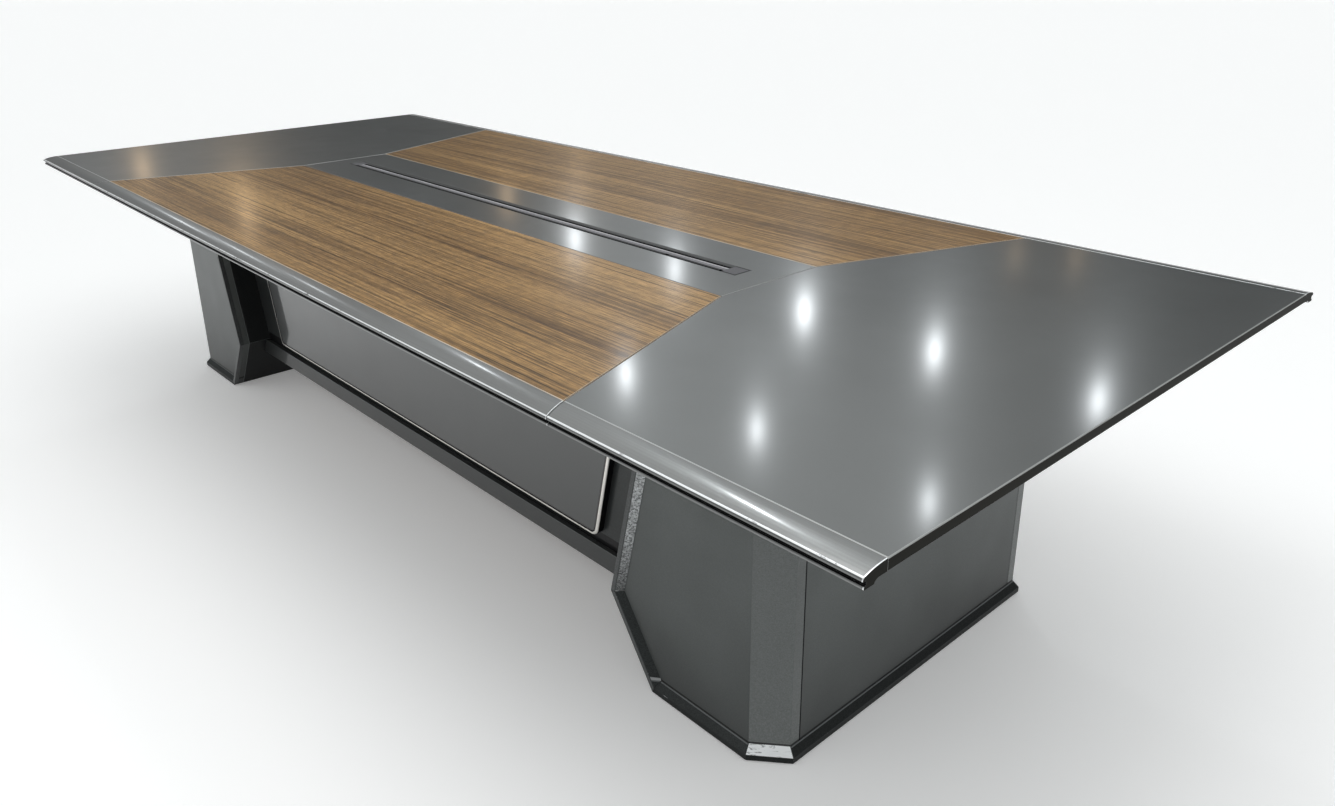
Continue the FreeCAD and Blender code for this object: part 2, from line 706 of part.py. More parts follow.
def bridge_trim(y_back, y_front):
    """Metal strip round the sides and bottom of the raised panel, with a rounded outer arris."""
    trim = raised_slab(0, y_back, y_front).cut(raised_slab(TRIM_WIDTH, y_back, y_front))
    open_top = (-FAR, y_front - OVERRUN, PANEL_TOP_Z - TRIM_WIDTH)
    trim = trim.cut(block(open_top, (FAR, y_back + OVERRUN, FAR)))
    outer_edge = raised_face(0, y_front).OuterWire
    rounded = []
    for edge in trim.Edges:
        middle = Part.Vertex(edge.valueAt((edge.FirstParameter + edge.LastParameter) / 2))
        if outer_edge.distToShape(middle)[0] < TOLERANCE:
            rounded.append(edge)
    return trim.makeFillet(TRIM_ROUND, rounded)


def make_bridge():
    """Boxed bridge between the pedestals, with a trimmed raised panel and a bottom rail on each long side."""
    face_y = -BRIDGE_HALF_DEPTH
    inside_y = face_y + BOARD
    panel_y = face_y - PANEL_PROUD
    pieces = {}
    pieces["board"] = side_prism(between_pedestals(BRIDGE_BOTTOM_Z, UNDERSIDE_Z), face_y, inside_y)
    pieces["raised_panel"] = raised_slab(TRIM_WIDTH + TRIM_GAP, face_y, panel_y)
    pieces["trim"] = bridge_trim(face_y, panel_y - TRIM_PROUD)
    rail_outline = between_pedestals(BRIDGE_BOTTOM_Z, RAIL_TOP_Z)
    pieces["rail"] = side_prism(rail_outline, face_y - RAIL_PROUD, face_y)
    for name, shape in pieces.items():
        save("bridge_" + name + "_front", shape)
        save("bridge_" + name + "_back", mirrored_y(shape))

    batten_z = UNDERSIDE_Z - BATTEN_WIDTH
    batten_x = inner_face_x(batten_z)
    batten = block((-batten_x, inside_y, batten_z), (batten_x, inside_y + BATTEN_WIDTH, UNDERSIDE_Z))
    save("bridge_battens", batten, mirrored_y(batten))

    floor_top = BRIDGE_BOTTOM_Z + BOARD
    save("bridge_floor", side_prism(between_pedestals(BRIDGE_BOTTOM_Z, floor_top), inside_y, -inside_y))
    rib_low = (RIB_X - BOARD / 2, inside_y, floor_top)
    rib_high = (RIB_X + BOARD / 2, -inside_y, TROUGH_FLOOR_Z - TROUGH_BOARD)
    rib = block(rib_low, rib_high)
    save("bridge_ribs", mirrored_x(rib), rib)


os.makedirs("parts", exist_ok=True)
make_top()
make_slot()
make_trough()
make_pedestals()
make_bridge()
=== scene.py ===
import math

import bmesh
import bpy
from mathutils import Matrix, Vector


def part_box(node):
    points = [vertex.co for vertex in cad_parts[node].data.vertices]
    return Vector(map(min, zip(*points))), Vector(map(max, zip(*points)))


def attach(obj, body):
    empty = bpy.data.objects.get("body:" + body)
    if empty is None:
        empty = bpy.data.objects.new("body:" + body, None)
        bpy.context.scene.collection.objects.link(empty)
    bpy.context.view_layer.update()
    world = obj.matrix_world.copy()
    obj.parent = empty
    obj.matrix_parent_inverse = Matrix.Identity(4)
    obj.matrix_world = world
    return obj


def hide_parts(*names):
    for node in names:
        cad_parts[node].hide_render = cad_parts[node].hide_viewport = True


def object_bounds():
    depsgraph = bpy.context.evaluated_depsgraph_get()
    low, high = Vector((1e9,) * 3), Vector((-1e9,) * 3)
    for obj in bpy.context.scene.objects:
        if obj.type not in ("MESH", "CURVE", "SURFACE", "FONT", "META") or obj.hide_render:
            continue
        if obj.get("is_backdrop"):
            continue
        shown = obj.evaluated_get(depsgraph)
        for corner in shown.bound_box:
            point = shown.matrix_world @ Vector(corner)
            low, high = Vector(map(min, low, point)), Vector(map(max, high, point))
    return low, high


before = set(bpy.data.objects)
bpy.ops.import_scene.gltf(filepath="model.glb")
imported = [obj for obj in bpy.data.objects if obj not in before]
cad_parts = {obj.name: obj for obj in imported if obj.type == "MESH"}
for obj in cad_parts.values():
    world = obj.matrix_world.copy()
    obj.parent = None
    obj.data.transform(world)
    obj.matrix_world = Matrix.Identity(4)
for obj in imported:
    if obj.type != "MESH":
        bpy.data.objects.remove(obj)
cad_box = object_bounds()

# Pedestal boards: the sides, inner panels, corner posts and end panels of the two pedestals, in fibreboard
# with eased arrises under dark metallic lacquer and a satin clear coat. The inner panels are near black as
# painted shade. Sides and end panels are darker towards the floor, a dark line runs along the top of the
# skirting, and the posts are scuffed near the floor. The end panels' edges are blacked, so their upright
# joints are dark lines.
PEDESTAL_GREY = (0.208, 0.225, 0.221, 1.0)
POST_GREY = (0.206, 0.22, 0.217, 1.0)
PAINTED_SHADE_GREY = (0.03, 0.032, 0.033, 1.0)
SHADOW_BLACK = (0.008, 0.008, 0.009, 1.0)
BARE_EDGE = (0.42, 0.43, 0.43, 1.0)
BOARD_ARRIS = 0.0009
POST_ARRIS = 0.0014
DARKER_BELOW = (0.42, 0.03, 0.44)
DARK_LINE = 0.004
DARK_LINE_SHARE = 0.85
SCUFFED = (0.04, 0.26)
SCUFF_SHARE = 0.35
CLEAR_COAT_ROUGHNESS = 0.05
UNEVEN_RUB = 0.02
WEAR_STARTS = 0.62
WEAR_BARE = 0.72
MOST_NOISE = (0.3, 0.7)
CORE_NOISE = (0.35, 0.65)
UP = (0.0, 0.0, 1.0)
SHARP_CORNER = math.radians(25)
FLAT_FACE = math.radians(0.5)
MICRON_DIGITS = 6
SIDES = ("right", "left")


def add_node(tree, kind, inputs=(), **settings):
    """Add a node, with its inputs set to values or joined to other nodes' outputs."""
    node = tree.nodes.new(kind)
    for setting, value in settings.items():
        setattr(node, setting, value)
    for socket, value in dict(inputs).items():
        if isinstance(value, bpy.types.NodeSocket):
            tree.links.new(value, node.inputs[socket])
        else:
            node.inputs[socket].default_value = value
    return node


def new_finish(name):
    """A node material with its shader and the place on the piece that patterns are read from."""
    material = bpy.data.materials.new(name)
    material.use_nodes = True
    tree = material.node_tree
    place = add_node(tree, "ShaderNodeTexCoord").outputs["Object"]
    return material, tree, tree.nodes["Principled BSDF"], place


def scaled(tree, value, low, high, span=(0.0, 1.0)):
    """A value spread from its own span over a new range."""
    inputs = {"Value": value, "From Min": span[0], "From Max": span[1], "To Min": low, "To Max": high}
    return add_node(tree, "ShaderNodeMapRange", inputs).outputs["Result"]


def calculated(tree, operation, first, second):
    return add_node(tree, "ShaderNodeMath", {0: first, 1: second}, operation=operation).outputs[0]


def product(tree, first, second):
    return calculated(tree, "MULTIPLY", first, second)


def toned(tree, colour, tone):
    """A colour made lighter or darker by a pattern."""
    plain = colour if isinstance(colour, bpy.types.NodeSocket) else colour[:3]
    return add_node(tree, "ShaderNodeVectorMath", {0: plain, "Scale": tone}, operation="SCALE").outputs[0]


def blended(tree, share, first, second):
    """One colour laid over another by a share."""
    inputs = {0: share, 6: first, 7: second}
    return add_node(tree, "ShaderNodeMix", inputs, data_type="RGBA").outputs[2]


def noise(tree, place, stretch, detail, roughness=0.55, distortion=0.0):
    """Noise whose grains have their own count per metre along each axis."""
    grain = add_node(tree, "ShaderNodeMapping", {"Vector": place, "Scale": stretch}).outputs["Vector"]
    inputs = {"Vector": grain, "Scale": 1.0, "Detail": detail, "Roughness": roughness}
    inputs["Distortion"] = distortion
    return add_node(tree, "ShaderNodeTexNoise", inputs).outputs["Fac"]


def metallic_lacquer(
        name, grey, metallic, roughness, flake, sparkle, coat, clouding=0.07, brushed=0.0, darkened_below=None):
    """Sprayed metallic lacquer: fine flakes under a clear coat, with faint cloudiness.
    It can be rubbed along its length, or darkened to a share of its tone between two heights."""
    material, tree, shader, place = new_finish(name)
    flakes = add_node(tree, "ShaderNodeTexVoronoi", {"Vector": place, "Scale": 1 / flake})
    glint = scaled(tree, flakes.outputs["Color"], 1 - sparkle, 1 + sparkle, span=(0.15, 0.85))
    clouds = noise(tree, place, (2.1, 2.1, 2.1), detail=3)
    tone = product(tree, glint, scaled(tree, clouds, 1 - clouding, 1 + clouding, CORE_NOISE))
    if brushed:
        lines = noise(tree, place, (0.8, 620.0, 620.0), detail=3)
        tone = product(tree, tone, scaled(tree, lines, 1 - brushed, 1 + brushed, MOST_NOISE))
    if darkened_below:
        height = add_node(tree, "ShaderNodeSeparateXYZ", {0: place}).outputs["Z"]
        tone = product(tree, tone, scaled(tree, height, darkened_below[0], 1.0, darkened_below[1:]))
    tree.links.new(toned(tree, grey, tone), shader.inputs["Base Color"])
    rub = noise(tree, place, (7.0, 7.0, 7.0), detail=2)
    uneven = scaled(tree, rub, roughness - UNEVEN_RUB, roughness + UNEVEN_RUB, MOST_NOISE)
    tree.links.new(uneven, shader.inputs["Roughness"])
    shader.inputs["Metallic"].default_value = metallic
    shader.inputs["Specular IOR Level"].default_value = coat / 2
    shader.inputs["Coat Weight"].default_value = coat
    shader.inputs["Coat Roughness"].default_value = CLEAR_COAT_ROUGHNESS
    return material


def overpaint(finish, across, low, high, colour, share=1.0):
    """Lay a colour over a finish in a strip between two parallel lines, in all quarters of the table.
    The strip is measured from the table's middle, along the direction that points across it."""
    tree = finish.node_tree
    shader = tree.nodes["Principled BSDF"]
    place = tree.nodes["Texture Coordinate"].outputs["Object"]
    quarter = add_node(tree, "ShaderNodeVectorMath", {0: place}, operation="ABSOLUTE").outputs[0]
    reach = add_node(tree, "ShaderNodeVectorMath", {0: quarter, 1: across}, operation="DOT_PRODUCT")
    past_low = calculated(tree, "GREATER_THAN", reach.outputs["Value"], low)
    before_high = calculated(tree, "LESS_THAN", reach.outputs["Value"], high)
    strip = product(tree, product(tree, past_low, before_high), share)
    under = shader.inputs["Base Color"].links[0].from_socket
    tree.links.new(blended(tree, strip, under, colour), shader.inputs["Base Color"])


def wear_and_highlight_arris(name, lacquer, bare, worn):
    """The rounded edge of a lacquered piece, rubbed thin in patches until the pale undercoat shows.
    With a large worn share it is pale almost all along, as a painted highlight line.
    """
    material, tree, shader, place = new_finish(name)
    patches = noise(tree, place, (38.0, 38.0, 38.0), detail=5, roughness=0.7)
    wear = scaled(tree, patches, 0.0, 1.0, (WEAR_STARTS - worn, WEAR_BARE - worn))
    tree.links.new(blended(tree, wear, lacquer, bare), shader.inputs["Base Color"])
    tree.links.new(scaled(tree, wear, 0.3, 0.48), shader.inputs["Roughness"])
    shader.inputs["Metallic"].default_value = 0.45
    return material


def closed_shells(solid):
    """Split loose triangles into closed shells: one ends when all its edges have been met both ways."""
    places = [corner.co.to_tuple(MICRON_DIGITS) for corner in solid.vertices]
    shell = []
    open_edges = set()
    for polygon in solid.polygons:
        triangle = [places[index] for index in polygon.vertices]
        shell.append(triangle)
        for start, end in zip(triangle, triangle[1:] + triangle[:1]):
            if (end, start) in open_edges:
                open_edges.remove((end, start))
            else:
                open_edges.add((start, end))
        if not open_edges:
            yield shell
            shell = []


def eased_copy(node, body, radius, finishes, paint=None):
    """A piece that stands for a CAD node: its triangles joined into whole faces and its arrises rounded.
    The first finish is on its faces, unless paint picks another, and the last is on the rounded arrises."""
    form = bmesh.new()
    for shell in closed_shells(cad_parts[node].data):
        corners = dict.fromkeys(corner for triangle in shell for corner in triangle)
        points = {corner: form.verts.new(corner) for corner in corners}
        for triangle in shell:
            form.faces.new([points[corner] for corner in triangle])
    bmesh.ops.dissolve_limit(form, angle_limit=FLAT_FACE, verts=form.verts, edges=form.edges)
    form.normal_update()
    for face in form.faces:
        face.smooth = True
        if paint:
            face.material_index = paint(face)
    mesh = bpy.data.meshes.new(node + "_eased")
    form.to_mesh(mesh)
    form.free()
    for finish in finishes:
        mesh.materials.append(finish)
    piece = bpy.data.objects.new(node + "_eased", mesh)
    bpy.context.scene.collection.objects.link(piece)
    rounding = piece.modifiers.new("eased arrises", "BEVEL")
    rounding.width = radius
    rounding.segments = 3
    rounding.limit_method = "ANGLE"
    rounding.angle_limit = SHARP_CORNER
    rounding.harden_normals = True
    rounding.material = len(finishes) - 1
    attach(piece, body)
    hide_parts(node)
    return piece


pedestal_lacquer = metallic_lacquer(
    "pedestal lacquer", PEDESTAL_GREY, metallic=0.05, roughness=0.35, flake=0.0011, sparkle=0.08, coat=0.25,
    clouding=0.2, darkened_below=DARKER_BELOW)
post_lacquer = metallic_lacquer(
    "post lacquer", POST_GREY, metallic=0.15, roughness=0.32, flake=0.0012, sparkle=0.14, coat=0.35)
# The inner panels' near-black lacquer is painted shade under the top.
painted_shade_lacquer = metallic_lacquer(
    "painted shade lacquer", PAINTED_SHADE_GREY, metallic=0.1, roughness=0.4, flake=0.0011, sparkle=0.2, coat=0.1)
board_arris = wear_and_highlight_arris("rubbed board arris", PEDESTAL_GREY, BARE_EDGE, worn=0.0)
skirting_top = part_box("right_pedestal_skirting")[1].z
tree = post_lacquer.node_tree
place = tree.nodes["Texture Coordinate"].outputs["Object"]
height = add_node(tree, "ShaderNodeSeparateXYZ", {0: place}).outputs["Z"]
scratches = noise(tree, place, (260.0, 260.0, 200.0), detail=3, roughness=0.6)
scuffs = scaled(tree, scratches, 0.0, SCUFF_SHARE, span=(0.45, 0.75))
scuffs = product(tree, scuffs, scaled(tree, height, 1.0, 0.0, SCUFFED))
overpaint(post_lacquer, UP, *SCUFFED, BARE_EDGE, scuffs)
# A dark line is painted along the top of the skirting on the pedestal sides, end panels and posts.
for lacquer in (pedestal_lacquer, post_lacquer):
    overpaint(lacquer, UP, skirting_top - DARK_LINE, skirting_top + DARK_LINE, SHADOW_BLACK, DARK_LINE_SHARE)

# Blacked edges: dark joints, and painted shade on the raised panels' arrises and in the moulding groove.
blacking, tree, shader, place = new_finish("blacked edge and painted shade")
dust = noise(tree, place, (60.0, 60.0, 60.0), detail=5, roughness=0.7)
tree.links.new(toned(tree, SHADOW_BLACK, scaled(tree, dust, 0.6, 1.4)), shader.inputs["Base Color"])
shader.inputs["Roughness"].default_value = 0.7
shader.inputs["Specular IOR Level"].default_value = 0.1

for side in SIDES:
    for board in ("side_front", "side_back"):
        finishes = [pedestal_lacquer, pedestal_lacquer]
        eased_copy(f"{side}_pedestal_{board}", "table", BOARD_ARRIS, finishes)
    finishes = [pedestal_lacquer, blacking]
    eased_copy(f"{side}_pedestal_end_panel", "table", BOARD_ARRIS, finishes)
    finishes = [post_lacquer, post_lacquer]
    eased_copy(f"{side}_pedestal_corner_posts", "table", POST_ARRIS, finishes)
    for board in ("inner_upper", "inner_lower"):
        finishes = [painted_shade_lacquer, board_arris]
        eased_copy(f"{side}_pedestal_{board}", "table", BOARD_ARRIS, finishes)

# Pedestal rims and skirting: mitred hardwood strips with a flat and a bevelled face, planted round the inner
# edges and the foot of each pedestal. Flats are dark, rim bevels are sprayed heavily with coarse flakes,
# turn darker towards the knee and are chipped at it, and below the knee their dark grey is painted shade.
# The skirting's top edge carries a painted highlight line, and its corner bevels are worn down to bare
# silver and painted bright as a highlight.
FLAT_GREY = (0.115, 0.122, 0.123, 1.0)
LOWER_GREY = (0.052, 0.057, 0.057, 1.0)
SKIRTING_GREY = (0.03, 0.033, 0.033, 1.0)
SKIRTING_HIGHLIGHT = (0.2, 0.21, 0.212, 1.0)
BEVEL_GREY = (0.4, 0.415, 0.42, 1.0)
WEAR_AND_HIGHLIGHT_SILVER = (0.9, 0.92, 0.93, 1.0)
RIM_ARRIS = 0.0012
SKIRTING_ARRIS = 0.0009
BEVEL_FADE = (0.3, 0.184, 0.34)
CHIP = 0.005
KNEE_CHIPS = 0.85
FOOT_CHIPS = 0.5
TOP_HIGHLIGHT = 0.0025
LEANS = 0.3
SQUARE_ON = 0.95
MITRED = 0.2

flat_lacquer = metallic_lacquer(
    "rim flat lacquer", FLAT_GREY, metallic=0.2, roughness=0.34, flake=0.0014, sparkle=0.25, coat=0.3)
# Below the knee the rim bevels take this dark lacquer, whose darkness there is painted shade.
lower_lacquer = metallic_lacquer(
    "lower bevel lacquer", LOWER_GREY, metallic=0.1, roughness=0.36, flake=0.0014, sparkle=0.25, coat=0.15)
skirting_lacquer = metallic_lacquer(
    "skirting lacquer", SKIRTING_GREY, metallic=0.1, roughness=0.36, flake=0.0014, sparkle=0.25, coat=0.1)
bevel_lacquer = metallic_lacquer(
    "rim bevel lacquer", BEVEL_GREY, metallic=0.6, roughness=0.34, flake=0.0026, sparkle=0.6, coat=0.3,
    darkened_below=BEVEL_FADE)
overpaint(bevel_lacquer, UP, BEVEL_FADE[1], BEVEL_FADE[1] + CHIP, WEAR_AND_HIGHLIGHT_SILVER, KNEE_CHIPS)
overpaint(lower_lacquer, UP, skirting_top, skirting_top + CHIP, WEAR_AND_HIGHLIGHT_SILVER, FOOT_CHIPS)
# A painted highlight line runs along the top edge of the skirting.
for lacquer in (lower_lacquer, skirting_lacquer):
    overpaint(lacquer, UP, skirting_top - TOP_HIGHLIGHT, skirting_top, SKIRTING_HIGHLIGHT)
rim_arris = wear_and_highlight_arris("rubbed rim arris", LOWER_GREY, WEAR_AND_HIGHLIGHT_SILVER, worn=0.0)
skirting_arris = wear_and_highlight_arris("rubbed skirting arris", SKIRTING_GREY, BEVEL_GREY, worn=0.0)

# The skirting's corner bevels are scraped to bare silver, which is also painted bright as a highlight.
worn_bevel_highlight, tree, shader, place = new_finish("worn corner bevel with painted highlight")
scrapes = noise(tree, place, (36.0, 36.0, 170.0), detail=3, roughness=0.6, distortion=1.0)
bare = scaled(tree, scrapes, 0.1, 1.0, span=(0.32, 0.44))
tree.links.new(blended(tree, bare, LOWER_GREY, WEAR_AND_HIGHLIGHT_SILVER), shader.inputs["Base Color"])
tree.links.new(scaled(tree, scrapes, 0.3, 0.5, MOST_NOISE), shader.inputs["Roughness"])
shader.inputs["Metallic"].default_value = 0.7


def rim_finish(face):
    """A rim's bevel leans between the board's face and its edge, and faces down above the knee."""
    slanted = sum(abs(part) > LEANS for part in face.normal) > 1
    if slanted and LEANS < abs(face.normal.y) < SQUARE_ON:
        return 1 if face.normal.z < 0 else 2
    return 0


def skirting_finish(face):
    """The skirting's bevel leans upwards, and at a corner it faces both along and across the table."""
    if face.normal.z < LEANS:
        return 0
    if min(abs(face.normal.x), abs(face.normal.y)) > MITRED:
        return 2
    return 1 if abs(face.normal.y) > MITRED else 0


for side in SIDES:
    for strip in ("rim_front", "rim_back"):
        finishes = [flat_lacquer, bevel_lacquer, lower_lacquer, rim_arris]
        eased_copy(f"{side}_pedestal_{strip}", "table", RIM_ARRIS, finishes, rim_finish)
    finishes = [skirting_lacquer, lower_lacquer, worn_bevel_highlight, skirting_arris]
    node = f"{side}_pedestal_skirting"
    eased_copy(node, "table", SKIRTING_ARRIS, finishes, skirting_finish)

# Boards that no one sees in use: the level boards inside the pedestals, and the floor, ribs, battens and
# trough of the bridge. They are sawn fibreboard, left raw, with a faint mottle and a fuzzy matt face.
RAW_BOARD = (0.33, 0.23, 0.14, 1.0)
RAW_BOARD_DARK = (0.25, 0.165, 0.095, 1.0)

raw_board, tree, shader, place = new_finish("raw fibreboard")
fibres = noise(tree, place, (420.0, 420.0, 420.0), detail=4, roughness=0.7)
mottle = noise(tree, place, (9.0, 9.0, 9.0), detail=5)
share = scaled(tree, product(tree, fibres, mottle), 0.0, 1.0, span=(0.12, 0.4))
tree.links.new(blended(tree, share, RAW_BOARD_DARK, RAW_BOARD), shader.inputs["Base Color"])
fuzz = add_node(tree, "ShaderNodeBump", {"Height": fibres, "Strength": 0.25, "Distance": 0.0004})
tree.links.new(fuzz.outputs["Normal"], shader.inputs["Normal"])
shader.inputs["Roughness"].default_value = 0.85
raw_nodes = ["bridge_floor", "bridge_ribs", "bridge_battens", "trough_floor", "trough_sides"]
for side in SIDES:
    raw_nodes += [f"{side}_pedestal_base_board", f"{side}_pedestal_top_board"]


def dress(nodes, finish):
    """Give CAD pieces a finish and leave their shape as it is."""
    for node in nodes:
        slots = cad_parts[node].data.materials
        slots.clear()
        slots.append(finish)


dress(raw_nodes, raw_board)

# Floor glides: turned nylon discs nailed under the base boards, matt black and scuffed.
# Only their rims show, in the narrow gap under the skirting.
NYLON_BLACK = (0.02, 0.02, 0.02, 1.0)
NYLON_SCUFFED = (0.06, 0.06, 0.06, 1.0)

glide_nylon, tree, shader, place = new_finish("glide nylon")
scuffs = noise(tree, place, (150.0, 150.0, 150.0), detail=5, roughness=0.7)
tree.links.new(blended(tree, scuffs, NYLON_BLACK, NYLON_SCUFFED), shader.inputs["Base Color"])
tree.links.new(scaled(tree, scuffs, 0.4, 0.7), shader.inputs["Roughness"])
dress([f"{side}_pedestal_glides" for side in SIDES], glide_nylon)

# Bridge: front and back boards between the pedestals, each with a bottom rail, and a raised panel planted on
# the board. All are lacquered fibreboard like the pedestals. A black line of painted shade runs inside the
# panel's trim, and the recess between the panel and the rail is painted black as shade.
BRIDGE_GREY = (0.058, 0.063, 0.063, 1.0)
BRIDGE_RAIL_GREY = (0.06, 0.064, 0.064, 1.0)
PANEL_ARRIS = 0.002
RECESS_SHADE = (0.178, 0.208)
ACROSS_LEAN = (1.0, 0.0, -0.25)
PANEL_SIDE = 0.7637
PANEL_SHADE_LINE = 0.004
FACES = ("front", "back")

bridge_lacquer = metallic_lacquer(
    "bridge lacquer", BRIDGE_GREY, metallic=0.3, roughness=0.32, flake=0.0011, sparkle=0.06, coat=1.0)
panel_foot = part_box("bridge_raised_panel_front")[0].z
# A black line of painted shade runs inside the raised panel's trim, at its foot and sides.
overpaint(bridge_lacquer, UP, panel_foot, panel_foot + PANEL_SHADE_LINE, SHADOW_BLACK)
overpaint(bridge_lacquer, ACROSS_LEAN, PANEL_SIDE - PANEL_SHADE_LINE, PANEL_SIDE, SHADOW_BLACK)
rail_lacquer = metallic_lacquer(
    "bridge rail lacquer", BRIDGE_RAIL_GREY, metallic=0.2, roughness=0.34, flake=0.0011, sparkle=0.06,
    coat=0.5)
# The board's recess between the raised panel and the rail is painted black as shade.
board_lacquer_with_shade = metallic_lacquer(
    "board lacquer with painted shade", BRIDGE_GREY, metallic=0.2, roughness=0.36, flake=0.0011, sparkle=0.2, coat=0.3)
overpaint(board_lacquer_with_shade, UP, *RECESS_SHADE, SHADOW_BLACK)
for face in FACES:
    finishes = [board_lacquer_with_shade, board_arris]
    eased_copy(f"bridge_board_{face}", "table", BOARD_ARRIS, finishes)
    # The raised panel's arrises are blacked as painted shade.
    finishes = [bridge_lacquer, blacking]
    eased_copy(f"bridge_raised_panel_{face}", "table", PANEL_ARRIS, finishes)
    finishes = [rail_lacquer, board_arris]
    eased_copy(f"bridge_rail_{face}", "table", BOARD_ARRIS, finishes)

# Bridge trim: a champagne anodised aluminium strip bent round the sides and bottom of the raised panel.
# Its face and arrises are brushed along the table, and its narrow sides are blacked out.
CHAMPAGNE = (0.95, 0.93, 0.88, 1.0)
TRIM_ARRIS = 0.0004

champagne, tree, shader, place = new_finish("champagne anodising")
grain = noise(tree, place, (4.0, 1500.0, 1500.0), detail=3)
brushing = scaled(tree, grain, 0.88, 1.08, MOST_NOISE)
tree.links.new(toned(tree, CHAMPAGNE, brushing), shader.inputs["Base Color"])
tree.links.new(scaled(tree, grain, 0.29, 0.4), shader.inputs["Roughness"])
shader.inputs["Metallic"].default_value = 0.85


def trim_finish(face):
    return 0 if abs(face.normal.y) > LEANS else 1


for face in FACES:
    finishes = [champagne, blacking, champagne]
    eased_copy(f"bridge_trim_{face}", "table", TRIM_ARRIS, finishes, trim_finish)

# Top panels: the two end panels and the centre strip, fibreboard under a mid-grey metallic lacquer that is
# rubbed down and clear-coated to a soft gloss. Their upper edges are chamfered where they meet, and the
# chamfers are pale, partly as wear and partly as painted highlight lines. The two short ends of the table
# are banded in dark brown, under a line of worn lacquer.
TOP_GREY = (0.145, 0.152, 0.15, 1.0)
PALE_WEAR_AND_HIGHLIGHT = (0.46, 0.47, 0.46, 1.0)
BAND_BROWN = (0.013, 0.0125, 0.0095, 1.0)
TOP_ARRIS = 0.0004
LENGTHWISE = (1.0, 0.0, 0.0)
END_LINE = 0.0018
END_WEAR = 0.7
END_FACE = 0.98

top_end = cad_box[1][0]
top_lacquer = metallic_lacquer(
    "top lacquer", TOP_GREY, metallic=0.7, roughness=0.31, flake=0.0012, sparkle=0.015, coat=0.8)
overpaint(top_lacquer, LENGTHWISE, top_end - END_LINE, top_end, PALE_WEAR_AND_HIGHLIGHT, END_WEAR)
chamfer_wear_and_highlight = wear_and_highlight_arris("rubbed chamfer with painted highlight", TOP_GREY, PALE_WEAR_AND_HIGHLIGHT, worn=0.45)

end_band, tree, shader, place = new_finish("brown end banding")
streaks = noise(tree, place, (40.0, 3.0, 300.0), detail=4)
streaking = scaled(tree, streaks, 0.7, 1.3, MOST_NOISE)
tree.links.new(toned(tree, BAND_BROWN, streaking), shader.inputs["Base Color"])
tree.links.new(scaled(tree, streaks, 0.45, 0.6), shader.inputs["Roughness"])
shader.inputs["Specular IOR Level"].default_value = 0.06


def top_finish(face):
    if abs(face.normal.x) > END_FACE:
        return 1
    return 2 if LEANS < face.normal.z < SQUARE_ON else 0


def strip_finish(face):
    return 1 if face.normal.z > LEANS and abs(face.normal.x) > LEANS else 0


for side in SIDES:
    finishes = [top_lacquer, end_band, chamfer_wear_and_highlight]
    eased_copy(f"top_end_panel_{side}", "table", TOP_ARRIS, finishes, top_finish)
finishes = [top_lacquer, chamfer_wear_and_highlight, top_lacquer]
eased_copy("top_centre_strip", "table", TOP_ARRIS, finishes, strip_finish)

# Veneer panels: fibreboard faced with straight-grained walnut laid along the table, with dark streaks, open
# pores and a slight ripple across the grain, under a clear satin lacquer. The chamfers of the long edges
# show a pale glue line, and the other edges are dark cut veneer.
WALNUT_PALE = (0.4, 0.238, 0.088, 1.0)
WALNUT_MID = (0.2, 0.108, 0.034, 1.0)
WALNUT_DARK = (0.04, 0.02, 0.007, 1.0)
GLUE_LINE = (0.62, 0.54, 0.44, 1.0)
LONG_EDGE = 0.5

walnut, tree, shader, place = new_finish("walnut veneer")
bands = noise(tree, place, (0.45, 13.0, 13.0), detail=4, roughness=0.5, distortion=0.1)
stripes = noise(tree, place, (0.6, 75.0, 75.0), detail=4, roughness=0.65)
lines = noise(tree, place, (1.8, 270.0, 270.0), detail=4, roughness=0.7)
fibres = noise(tree, place, (6.0, 1100.0, 1100.0), detail=2, roughness=0.6)
pores = noise(tree, place, (42.0, 1500.0, 1500.0), detail=2)
flecks = noise(tree, place, (24.0, 260.0, 260.0), detail=4, roughness=0.65)
ripple = noise(tree, place, (34.0, 7.0, 7.0), detail=3, roughness=0.5, distortion=0.8)
wood = blended(tree, scaled(tree, bands, 0.0, 1.0, CORE_NOISE), WALNUT_MID, WALNUT_PALE)
wood = blended(tree, scaled(tree, stripes, 0.0, 0.45, span=(0.5, 0.66)), wood, WALNUT_DARK)
wood = blended(tree, scaled(tree, lines, 0.0, 0.9, span=(0.51, 0.62)), wood, WALNUT_DARK)
wood = blended(tree, scaled(tree, lines, 0.75, 0.0, span=(0.36, 0.48)), wood, WALNUT_PALE)
wood = blended(tree, scaled(tree, pores, 0.0, 0.7, span=(0.6, 0.7)), wood, WALNUT_DARK)
rippled = scaled(tree, ripple, 0.9, 1.1, MOST_NOISE)
figure = product(tree, rippled, scaled(tree, fibres, 0.84, 1.16, MOST_NOISE))
figure = product(tree, figure, scaled(tree, flecks, 0.68, 1.32, CORE_NOISE))
tree.links.new(toned(tree, wood, figure), shader.inputs["Base Color"])
tree.links.new(scaled(tree, lines, 0.3, 0.44), shader.inputs["Roughness"])
open_pores = add_node(tree, "ShaderNodeBump", {"Height": pores, "Strength": 0.08, "Distance": 0.0003})
tree.links.new(open_pores.outputs["Normal"], shader.inputs["Normal"])
shader.inputs["Specular IOR Level"].default_value = 0.14
shader.inputs["Coat Weight"].default_value = 0.35
shader.inputs["Coat Roughness"].default_value = 0.09

